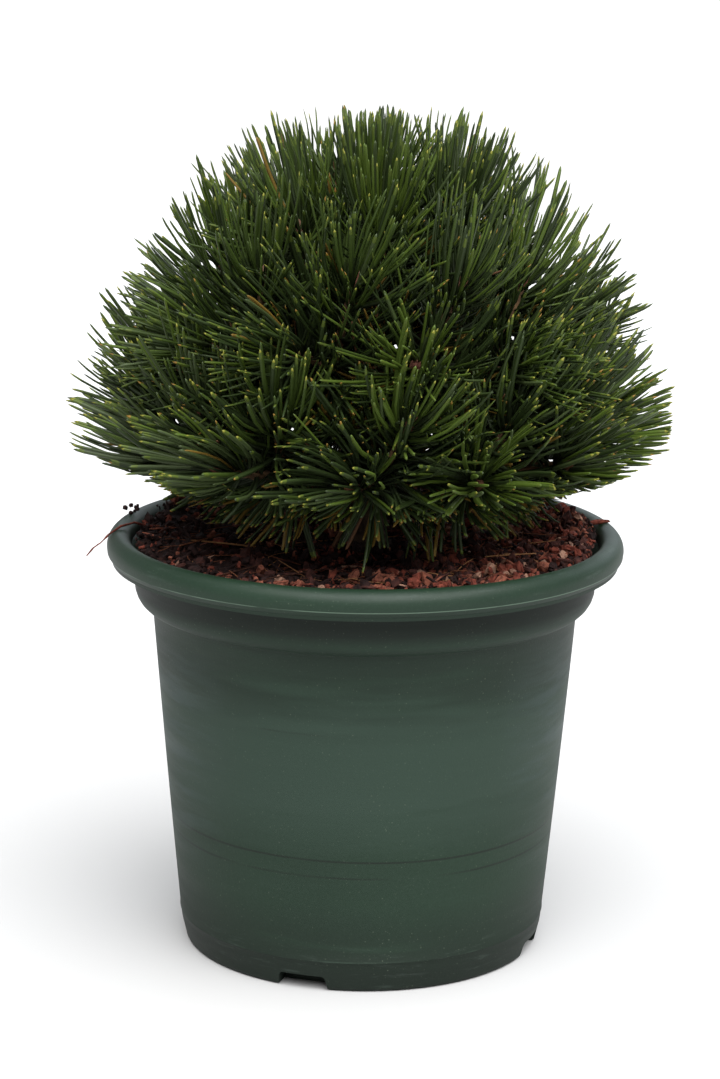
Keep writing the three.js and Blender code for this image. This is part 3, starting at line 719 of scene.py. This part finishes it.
def strew(rng, points, longest, tilt, lift):
    """Lays slabs over the soil, turned every way. More of them lie on the right, as the mulch does."""
    count = len(points)
    radius = LITTER_EDGE * np.sqrt(rng.uniform(0.02, 1, count))
    radius = np.minimum(radius, LITTER_EDGE - 0.4 * longest)
    right = rng.uniform(size=count) < RIGHT_SHARE
    angle = np.where(right, rng.normal(RIGHT_ANGLE, RIGHT_WIDTH, count), rng.uniform(0, TAU, count))
    spots = circle(radius, angle)
    spin = turned(rng.uniform(0, TAU, count), rng.normal(0, tilt, count), rng.normal(0, tilt, count))
    height = soil_height(*spots.T) + rng.uniform(*lift, count)
    return points @ spin + np.column_stack([spots, height])[:, None]


# Name, dark and light
CHIP_LOOKS = (
    ("chip_dark", (37, 22, 20), (84, 50, 44)),
    ("chip_red", (74, 35, 28), (136, 70, 55)),
    ("chip_brown", (86, 49, 39), (154, 93, 73)),
    ("chip_peat", (22, 15, 15), (55, 36, 34)),
    ("chip_pale", (118, 84, 70), (184, 142, 120)),
)
DARK, RED, BROWN, PEATY, PALE = range(len(CHIP_LOOKS))


def rim_debris(rng):
    """A few chips and crumbs on the rim and a little over it, and their kinds."""
    # middle, length, width, thickness, turn and slope in degrees, kind
    pieces = [
        ((118.5, 21, 213), 15, 4.5, 2, 12, -6, RED),
        ((111, 38, 212), 12, 4, 2.2, 70, 14, RED),
        ((106, 52, 212.5), 14, 3.6, 1.8, 130, -10, BROWN),
        ((114, 8, 209.5), 10, 5, 2.4, 40, 12, DARK),
    ]
    for _ in range(RIM_CRUMBS):
        middle = rng.uniform((-124, 26, 212.6), (-117, 36, 216.5))
        long, wide, turn = rng.uniform(2, 4.5), rng.uniform(1.6, 3), rng.uniform(0, 180)
        pieces.append((middle, long, wide, 1.8, turn, 20, PEATY))
    made = []
    for middle, long, wide, thick, turn, slope, _ in pieces:
        points = chip_points(rng, 1, (long, long), (wide, wide), (thick, thick))
        made.append(points @ turned([radians(turn)], [radians(slope)], [0]) + middle)
    return np.concatenate(made), np.array([piece[-1] for piece in pieces])


def make_litter(materials):
    rng = np.random.default_rng(11)
    # count, length, width, thickness, tilt, height over the soil, share of each material
    kinds = (
        (CHIPS, (3, 8), (2.2, 5.2), (1.1, 3), 0.6, (0, 3.4), (0.36, 0.24, 0.14, 0.23, 0.03)),
        (BIG_CHIPS, (6, 12), (4, 7.5), (1.8, 4), 0.75, (0.8, 4.4), (0.42, 0.3, 0.16, 0.08, 0.04)),
        (SPLINTERS, (6, 18), (0.8, 2), (0.5, 1.2), 0.35, (1, 4.4), (0.3, 0.3, 0.2, 0.1, 0.1)),
        (CRUMBS, (1, 3), (0.8, 2.4), (0.7, 2), 0.8, (0, 3.2), (0.3, 0.15, 0.05, 0.48, 0.02)),
    )
    parts, slots = [], []
    for count, long, wide, thick, tilt, lift, shares in kinds:
        points = strew(rng, chip_points(rng, count, long, wide, thick), long[1], tilt, lift)
        x, y, _ = points[:, 0].T
        kind = rng.choice(len(shares), count, p=shares)
        # on the left the peat shows more; inside the rim at the front lie brighter chips, fresh red bark
        # and painted light against the crown's shadow
        covered = rng.uniform(size=count) < PEAT_SHARE * np.clip(0.5 - x / 140, 0, 1)
        fresh = rng.uniform(size=count) < FRESH_AND_LIT_SHARE * np.clip((-75 - y) / 25, 0, 1)
        bright = rng.choice((RED, BROWN, PALE), count, p=(0.6, 0.32, 0.08))
        parts.append(points)
        slots.append(np.where(fresh, bright, np.where(covered, PEATY, kind)))
    points, kind = rim_debris(rng)
    points = np.concatenate([*parts, points])
    template = np.array(ring_faces(3, CHIP_SIDES) + caps(3, CHIP_SIDES))
    slots = np.repeat(np.concatenate([*slots, kind]), len(template))
    piece = make_piece("bark_mulch", points, many(template, points), materials, slots, smooth=False)
    dress(piece)


def make_dry_strand(material):
    """A dry strand that hangs from the soil over the rim."""
    path = [(-100, 17, 206), (-110, 12, 210.5), (-117, 5, 213.6), (-123, -5, 213.9)]
    path += [(-128.2, -12, 211.4), (-132.5, -13.5, 207.2), (-136, -13, 204.6), (-139.5, -13, 200.5)]
    places = np.linspace(0, len(path) - 1, 22)
    centres = np.stack([np.interp(places, range(len(path)), values) for values in zip(*path)], 1)
    radii = np.linspace(0.75, 0.35, len(centres))
    strand = tube(centres, radii, 7, lambda points: 0.22 * smooth_noise(points, 31, 5))
    dress(make_piece("dry_strand", *strand, [material]))


# The plan of the plant, as in the source


def direction(turn, elevation):
    a, e = radians(turn), radians(elevation)
    return np.array([math.sin(a) * math.cos(e), -math.cos(a) * math.cos(e), math.sin(e)])


def from_axis(points):
    return np.hypot(points[..., 0] - DOME_CENTRE[0], points[..., 1] - DOME_CENTRE[1])


def dome_share(points):
    radius = DOME_RADIUS + SKIRT * np.exp(-(((points[..., 2] - SKIRT_LEVEL) / SKIRT_SPAN) ** 2))
    across = from_axis(points) / radius
    above = np.maximum(0, points[..., 2] - DOME_CENTRE[2]) / DOME_HEIGHT
    return (across**DOME_POWER + above**DOME_POWER) ** (1 / DOME_POWER)


def underside(points, droop, edge):
    across = from_axis(points)
    height = UNDERSIDE_LEVEL + UNDERSIDE_SLOPE * np.maximum(0, across - UNDERSIDE_START)
    return np.maximum(UNDERSIDE_LEVEL, height - droop * np.clip((edge - across) / 18, 0, 1))


def reach(way):
    near, far = 0, 2 * DOME_RADIUS
    for _ in range(30):
        middle = (near + far) / 2
        if dome_share(HEART + way * middle) < 1:
            near = middle
        else:
            far = middle
    return near


def trunk_top():
    return HEART[2] + reach(UP) - NEEDLE_BEYOND_BUD - SHOOT_LENGTH - STEM_LENGTH


def trunk_axis(height):
    share = (height - TRUNK_SEAT) / (trunk_top() - TRUNK_SEAT)
    return np.array([TRUNK_LEAN * share, TRUNK_BEND * math.sin(math.pi * share), height])


def curve_point(curve, share):
    start, control, end = curve
    share = np.asarray(share, float)[..., None]
    return start * (1 - share) ** 2 + control * 2 * share * (1 - share) + end * share**2


def curve_along(curve, share):
    start, control, end = curve
    share = np.asarray(share, float)[..., None]
    return unit((control - start) * (1 - share) + (end - control) * share)


def shoot_directions(axis, shoots, draw):
    east = across_from(axis)
    north = np.cross(axis, east)
    spread = SHOOT_SPREAD if shoots > 1 else 0
    made = []
    for i in range(shoots):
        turn = radians(SHOOT_SPIN + 360 * i / shoots)
        tilt = math.tan(radians(spread + SHOOT_JITTER * (2 * draw() - 1)))
        made.append(unit(axis + east * tilt * math.cos(turn) + north * tilt * math.sin(turn)))
    return made


def plan_masses():
    draw = mulberry(41)
    masses = []
    for name, count, shoots_each, elevation, turn, attach in WHORLS:
        for i in range(count):
            jitter = SHOOT_JITTER if count > 1 else 0
            own_turn = turn + 360 * i / count + jitter * (2 * draw() - 1)
            axis = direction(own_turn, elevation + jitter * (2 * draw() - 1))
            fork_distance = reach(axis) - NEEDLE_BEYOND_BUD - SHOOT_LENGTH
            fork = HEART + axis * fork_distance
            shoots = []
            for way in shoot_directions(axis, shoots_each, draw):
                bud = HEART + way * (reach(way) - NEEDLE_BEYOND_BUD)
                shoots.append((fork, fork + axis * SHOOT_LENGTH * 0.45, bud))
            mass = {"axis": axis, "fork": fork, "shoots": shoots}
            mass["name"] = f"{name}_{i + 1:02d}" if count > 1 else name
            mass["tip"] = HEART + axis * (fork_distance - STEM_LENGTH)
            mass["attach"] = attach + BOUGH_LEVEL_STEP * (i % BOUGH_LEVELS) if attach else 0
            masses.append(mass)
    return masses


def loosen(masses):
    """Moves each bud a little in or out, so that the dome is tufted, and turns the lowest ones up."""
    rng = np.random.default_rng(17)
    for mass in masses:
        moved = []
        for fork, control, bud in mass["shoots"]:
            way = unit(bud - HEART)
            level = 1 - max(0, way[2])
            lift = LOW_BUD_LIFT * max(0, 1 - way[2] / 0.45) + SHOOT_RISE * level
            depth = rng.uniform(-1, 1) * BUD_DEPTH_SPREAD
            moved.append((fork, control - UP * SHOOT_SAG * level, bud + way * depth + UP * lift))
        mass["shoots"] = moved


# Limbs


def bark_relief(size):
    """Plates and furrows that stand out of a limb, in millimetres."""

    def relief(points):
        stretched = points * (1, 1, 0.45)
        return size * (smooth_noise(stretched, 21, 9) + 0.6 * np.abs(smooth_noise(stretched, 22, 4)))

    return relief


def make_limbs(masses, material):
    heights = np.linspace(TRUNK_SEAT - 1.5, trunk_top(), 60)
    flare = np.clip(1 - (heights - TRUNK_SEAT) / ROOT_FLARE_HEIGHT, 0, 1.1)
    share = (heights - TRUNK_SEAT) / (trunk_top() - TRUNK_SEAT)
    radii = TRUNK_FOOT_RADIUS + (TRUNK_TOP_RADIUS - TRUNK_FOOT_RADIUS) * share + ROOT_FLARE * flare**2
    parts = [tube([trunk_axis(height) for height in heights], radii, 28, bark_relief(0.5))]
    nodes = ["trunk"]
    for mass in masses:
        if not mass["attach"]:
            continue
        start, tip, axis = trunk_axis(mass["attach"]), mass["tip"], mass["axis"]
        span = np.linalg.norm(tip - start)
        curve = (start, tip - axis * 0.5 * span, tip + axis * 1.5)
        shares = np.linspace(0, 1, 26)
        radii = np.linspace(BOUGH_ROOT_RADIUS, BOUGH_TIP_RADIUS, 26) + 1.6 * np.exp(-shares * 12)
        parts.append(tube(curve_point(curve, shares), radii, 14, bark_relief(0.28)))
        nodes.append("bough_" + mass["name"])
    dress(make_piece("trunk_and_boughs", *join_parts(parts), [material]), nodes)


def make_twigs(masses, material):
    parts = []
    for mass in masses:
        tip, fork, axis = mass["tip"], mass["fork"], mass["axis"]
        stem = (tip - axis, (tip + fork) / 2, fork + axis * 4)
        centres = curve_point(stem, np.linspace(0, 1, 8))
        parts.append(tube(centres, np.full(8, STEM_RADIUS), 12, bark_relief(0.2)))
        for shoot in mass["shoots"]:
            shares = np.linspace(0, 0.96, 18)
            radii = 2.5 - 0.5 * shares + 0.35 * np.sin(shares * 40)
            parts.append(tube(curve_point(shoot, shares), radii, 10, bark_relief(0.2)))
    dress(make_piece("twigs", *join_parts(parts), [material]))


# Buds

BUD_LOOKS = (
    ("bud_brown", (66, 42, 28), (104, 70, 48)),
    ("bud_red", (74, 42, 34), (118, 76, 62)),
    ("bud_pale", (92, 68, 52), (134, 104, 84)),
)


def bud_shape():
    """A pointed bud of overlapping scales, standing on the origin along +Z, one long."""
    rings, sides = 12, 12
    angles = turns(sides)
    points = []
    for share in np.linspace(0, 1, rings):
        radius = math.sin(math.pi * (0.16 + 0.84 * share) ** 0.75) ** 0.8 if share < 1 else 0.03
        scales = 1 + 0.1 * np.sin(5 * angles + 9 * share) * math.sin(18 * share)
        points.append(level_ring(radius * scales, angles, share))
    return np.vstack(points), ring_faces(rings, sides) + caps(rings, sides)


def make_buds(masses, materials):
    rng = np.random.default_rng(5)
    shape, faces = bud_shape()
    parts, slots = [], []
    for mass in masses:
        for shoot in mass["shoots"]:
            along = curve_along(shoot, 1)
            side = across_from(along)
            axes = np.stack([side, np.cross(along, side), along])
            length = BUD_LENGTH * rng.uniform(0.8, 1.15)
            radius = BUD_RADIUS * rng.uniform(0.85, 1.1)
            points = shape * (radius, radius, length) @ axes + shoot[2] - along * 4
            parts.append((points, faces))
            slots.append(np.full(len(faces), rng.choice(3, p=(0.5, 0.3, 0.2))))
    dress(make_piece("buds", *join_parts(parts), materials, np.concatenate(slots)))


# Needles


def needle_template():
    """Faces of one needle, with the ring each starts from."""
    rings = len(NEEDLE_RINGS)
    tip = rings * NEEDLE_SIDES
    faces = ring_faces(rings, NEEDLE_SIDES) + turned_over(fan(tip, tip - NEEDLE_SIDES, NEEDLE_SIDES))
    faces = np.array(faces + caps(rings, NEEDLE_SIDES)[::2])
    return faces, faces.min(axis=1) // NEEDLE_SIDES


def needle_points(root, way, bend, flat, length, width):
    """Points of many needles at once: rings round a slightly bent line, then the tip."""
    other = np.cross(way, flat)
    points = []
    for share, wide in NEEDLE_RINGS:
        centre = root + length[:, None] * (way * share + bend * share**2)
        half = (width * wide / 2)[:, None]
        for x, y in circle(1, turns(NEEDLE_SIDES)):
            points.append(centre + (flat * x + other * y * NEEDLE_THICKNESS) * half)
    points.append(root + length[:, None] * (way + bend))
    return np.stack(points, 1)


def out_of_gaps(root, way, bend, length):
    """True for each needle that keeps clear of the lines of sight through the crown."""
    share = np.linspace(0, 1, 7)[:, None, None]
    points = root + length[:, None] * (way * share + bend * share**2)
    clear = np.ones(len(root), bool)
    for across, height in SKY_GAPS:
        middle = (across, 0, height)
        sight = unit(np.subtract(middle, CAMERA_PLACE))
        offset = points - middle
        offset -= sight * (offset @ sight)[..., None]
        start, step = offset[:-1], np.diff(offset, axis=0)
        nearest = np.clip(-np.sum(start * step, -1) / np.sum(step * step, -1), 0, 1)
        away = np.linalg.norm(start + step * nearest[..., None], axis=-1).min(0)
        clear &= away > SKY_GAP_RADIUS + 0.35 * NEEDLE_WIDTH
    return clear


# Name, colour, and for some roughness and specular: the sprays' greens, then the same greens in the
# shade of other needles, then the rest
NEEDLE_LOOKS = (
    ("deep", (34, 46, 18)),
    ("green", (49, 64, 21)),
    ("fresh", (64, 81, 25)),
    # grey: a painted sheen of the bright sky on some needles
    ("grey", (53, 65, 34), 0.5, 0.3),
    ("deep_shade", (25, 33, 15), 0.5, 0.2),
    ("green_shade", (34, 45, 17), 0.5, 0.2),
    ("fresh_shade", (43, 56, 19), 0.5, 0.2),
    ("grey_shade", (36, 45, 25), 0.5, 0.2),
    ("near_tip", (67, 80, 26)),
    ("tip", (106, 106, 34)),
    ("ochre_tip", (110, 84, 28)),
    ("old", (96, 76, 26), 0.6),
    ("dead", (90, 62, 40), 0.7),
)
GREENS = 4
SPRAY_SHARES = (0.18, 0.42, 0.24, 0.16)  # of the sprays, for each green
OWN_GREEN = 0.6  # this share of a spray's needles has its green
NEAR_TIP, TIP, OCHRE_TIP, OLD, DEAD = range(2 * GREENS, len(NEEDLE_LOOKS))


def shoot_needles(shoot, rng, limit, droop):
    """The pairs of one shoot in a spiral: close round the bud, wide further back."""
    backs, pitches = [], []
    for count, near, far, near_pitch, far_pitch in NEEDLE_ZONES:
        share = (np.arange(count) + rng.uniform(0, 1, count)) / count
        backs.append(near + (far - near) * share)
        pitches.append(near_pitch + (far_pitch - near_pitch) * share + rng.normal(0, 8.5, count))
    back, pitch = np.concatenate(backs), np.radians(np.concatenate(pitches))
    count = len(back)
    share = 1 - back / SHOOT_LENGTH
    turn = GOLDEN_ANGLE * np.arange(count) + rng.normal(0, 0.2, count)
    along = curve_along(shoot, np.maximum(share, 0))
    side = unit(np.cross(along, np.where(np.abs(along[:, 2:3]) < 0.95, UP, (1, 0, 0))))
    other = np.cross(along, side)
    out = side * np.cos(turn)[:, None] + other * np.sin(turn)[:, None]
    way = along * np.cos(pitch)[:, None] + out * np.sin(pitch)[:, None]
    root = curve_point(shoot, np.maximum(share, 0)) + along * np.minimum(share, 0)[:, None] * SHOOT_LENGTH
    root += out * 1.4
    length = NEEDLE_LENGTH * rng.uniform(0.76, 1.14, count)
    length *= INNER_LENGTH + (1 - INNER_LENGTH) * np.clip(back / 14, 0, 1)
    bend = rng.uniform(*NEEDLE_BEND, (count, 1)) * (along - out * 0.5)
    bend += rng.normal(0, 0.05, 3) + rng.normal(0, 0.08, (count, 3)) + UP * NEEDLE_RISE
    twist = unit(np.cross(way, rng.normal(size=(count, 3))))
    pairs = []
    for sign in (-1, 1):
        own_way = unit(way + twist * PAIR_SPREAD * sign * rng.uniform(0.4, 1.5, (count, 1)))
        own_bend = bend + rng.normal(0, 0.015, (count, 3))
        flat = np.cross(own_way, twist)
        own_length = length * rng.uniform(0.97, 1.03, count)
        pairs.append((root + twist * PAIR_GAP * sign, own_way, own_bend, flat, own_length, back))
    root, way, bend, flat, length, back = [np.concatenate(values) for values in zip(*pairs)]
    flat = unit(flat)
    flat = unit(flat - way * np.sum(flat * way, 1, keepdims=True))
    length, keep = trimmed(rng, root, way + bend, length, limit, droop)
    keep &= out_of_gaps(root, way, bend, length)
    return [values[keep] for values in (root, way, bend, flat, length, back)]


def trimmed(rng, root, line, length, limit, droop):
    """Shortens each needle that would leave the crown, and tells which are still long enough."""
    count = len(root)
    limits = np.minimum(limit + rng.normal(0.004, 0.038, count), MOST_REACH)
    stray = rng.uniform(size=count) < STRAY_SHARE
    droops = np.where(stray, rng.uniform(0, STRAY_DROOP, count), droop)
    edges = np.where(stray, STRAY_EDGE, DROOP_EDGE)
    full = length
    for _ in range(TRIMS):
        tip = root + length[:, None] * line
        outside = (dome_share(tip) > limits) | (tip[:, 2] > HIGHEST_TIP)
        outside |= tip[:, 2] < underside(tip, droops, edges)
        outside |= np.hypot(*tip.T[:2]) > WIDEST_TIP
        keep = ~outside & (length > SHORTEST_NEEDLE * full)
        length = np.where(outside, length * TRIM, length)
    return length, keep


def needle_kinds(rng, back, low, bands):
    """The material of each face of one shoot's needles."""
    count = len(back)
    spray = rng.choice(GREENS, p=SPRAY_SHARES)
    green = np.where(rng.uniform(size=count) < OWN_GREEN, spray, rng.choice(GREENS, count))
    kind = np.where(rng.uniform(size=count) < np.clip((back - 8) / 14, 0, 0.85), 0, green)
    old = rng.uniform(size=count) < np.where(back > OLD_WOOD, 0.2, 0.004)
    dead = rng.uniform(size=count) < np.where(back > OLD_WOOD, 0.08, 0.002)
    kind = np.where(old, OLD, np.where(dead, DEAD, kind))
    kinds = np.repeat(kind[:, None], len(bands), 1)
    kinds[np.ix_(kind < GREENS, bands < DARK_BANDS)] += GREENS
    tipped = (rng.uniform(size=count) < 0.75) & (kind < GREENS)
    # some sprays, most of them low ones, have many yellow tips
    showy = rng.uniform(0.3, 1) * (0.9 if low else 0.55)
    yellow = tipped & (rng.uniform(size=count) < showy)
    kinds[np.ix_(tipped, bands == bands.max() - 1)] = NEAR_TIP
    kinds[np.ix_(yellow, bands == bands.max())] = TIP
    kinds[np.ix_(yellow & (back > 16), bands == bands.max())] = OCHRE_TIP
    return kinds


def make_needles(masses, materials):
    """The needles of every shoot, in a few pieces of whole masses."""
    rng = np.random.default_rng(2)
    template, bands = needle_template()
    groups = []
    room = 0
    for mass in masses:
        low = mass["axis"][2] < LOW_AXIS
        parts = []
        for shoot in mass["shoots"]:
            limit = 1 + rng.uniform(-0.01, 0.055)
            droop = rng.uniform(0, DROOP)
            *needles, back = shoot_needles(shoot, rng, limit, droop)
            width = NEEDLE_WIDTH * rng.uniform(*WIDTH_SPREAD, len(back)) * (LOW_WIDTH if low else 1)
            parts.append((needle_points(*needles, width), needle_kinds(rng, back, low, bands)))
        points, kinds = map(np.concatenate, zip(*parts))
        if len(points) > room:
            groups.append([])
            room = PIECE_TRIANGLES // len(template)
        room -= len(points)
        groups[-1].append((points, kinds, "shoots_" + mass["name"]))
    for number, group in enumerate(groups, 1):
        points, kinds, nodes = zip(*group)
        points = np.concatenate(points)
        slots = np.concatenate(kinds).ravel()
        piece = make_piece(f"needles_{number:02d}", points, many(template, points), materials, slots)
        dress(piece, nodes)


FALLEN_LOOKS = (
    ("fallen_brown", (88, 50, 34), (128, 80, 54)),
    ("fallen_straw", (128, 88, 56), (168, 122, 82)),
    ("fallen_dark", (44, 27, 22), (80, 50, 38)),
)


def lying_strands(rng, count, lengths, widths, lift, bend):
    """Points of needles or fibres that lie every way on the soil."""
    root = circle(FALLEN_ROOTS * np.sqrt(rng.uniform(0.1, 1, count)), rng.uniform(0, TAU, count))
    turn = rng.uniform(0, TAU, count)
    length = rng.uniform(*lengths, count)
    tip = root + circle(length, turn)
    inside = np.hypot(*tip.T) < FALLEN_EDGE
    count = inside.sum()
    low, high = [
        np.column_stack([ends[inside], soil_height(*ends[inside].T) + rng.uniform(*lift, count)])
        for ends in (root, tip)
    ]
    way = unit(high - low)
    flat = unit(np.cross(way, UP))
    bends = rng.normal(0, bend, (count, 3)) * (1, 1, 0.3)
    return needle_points(low, way, bends, flat, length[inside], rng.uniform(*widths, count))


def make_fallen_needles(materials):
    rng = np.random.default_rng(8)
    template, _ = needle_template()
    needles = lying_strands(rng, FALLEN_NEEDLES, (28, 52), (1, 1.5), (2, 5.5), 0.06)
    fibres = lying_strands(rng, FIBRES, (6, 20), (0.35, 0.7), (1.5, 5), 0.25)
    points = np.concatenate([needles, fibres])
    slots = np.repeat(rng.choice(len(materials), len(points)), len(template))
    dress(make_piece("fallen_needles", points, many(template, points), materials, slots))


# Stage


def make_softbox():
    """A cool light behind the plant, on its right, that rims the pot and the needles."""
    light = bpy.data.lights.new("back_softbox", "AREA")
    light.shape = "RECTANGLE"
    light.size, light.size_y = SOFTBOX_SIZE
    light.energy = SOFTBOX_POWER
    light.color = SOFTBOX_COLOUR
    lamp = add_object("back_softbox", light)
    way = unit(np.subtract(SOFTBOX_PLACE, SOFTBOX_AIM))
    side = unit(np.cross(UP, way))
    turn = Matrix(np.stack([side, np.cross(way, side), way], 1).tolist()).to_4x4()
    lamp.matrix_world = Matrix.Translation(SOFTBOX_PLACE) @ turn


def make_stage():
    corners = [(x * FLOOR_HALF, y * FLOOR_HALF, 0) for x, y in ((-1, -1), (1, -1), (1, 1), (-1, 1))]
    paper = Look("paper", (176, 176, 176), 0.9, 0.1).material
    make_piece("studio_floor", corners, [(0, 1, 2, 3)], [paper])
    world = bpy.data.worlds.new("studio")
    world.use_nodes = True
    background = world.node_tree.nodes["Background"].inputs
    background["Color"].default_value = (1, 1, 1, 1)
    background["Strength"].default_value = SKY_STRENGTH
    bpy.context.scene.world = world
    make_softbox()
    overhead = bpy.data.lights.new("overhead", "SUN")
    overhead.energy = OVERHEAD_POWER
    overhead.angle = radians(OVERHEAD_SPREAD)
    add_object("overhead", overhead).rotation_euler = [radians(angle) for angle in OVERHEAD_TILT]
    bpy.context.scene.view_settings.view_transform = "Standard"


def make_camera():
    camera = add_object("camera", bpy.data.cameras.new("camera"))
    camera.data.sensor_width = SENSOR
    camera.data.lens = FOCAL_PIXELS / PHOTO_HEIGHT * SENSOR
    camera.data.clip_end = 100
    tilt = Matrix.Rotation(radians(90 - CAMERA_PITCH), 4, "X")
    roll = Matrix.Rotation(radians(CAMERA_ROLL), 4, "Z")
    camera.matrix_world = Matrix.Translation([v * MM for v in CAMERA_PLACE]) @ tilt @ roll
    bpy.context.scene.camera = camera


def main():
    make_camera()
    make_stage()
    masses = plan_masses()
    loosen(masses)
    make_pot()
    make_soil()
    chips = [chip_bark(*look) for look in CHIP_LOOKS]
    make_litter(chips)
    make_dry_strand(chips[RED])
    make_limbs(masses, bark("bark_old", (38, 27, 21), (92, 74, 58)))
    make_twigs(masses, bark("bark_young", (52, 36, 24), (104, 80, 54)))
    make_buds(masses, [chip_bark(*look) for look in BUD_LOOKS])
    make_needles(masses, [Look("needle_" + name, *look).material for name, *look in NEEDLE_LOOKS])
    make_fallen_needles([chip_bark(*look) for look in FALLEN_LOOKS])


main()
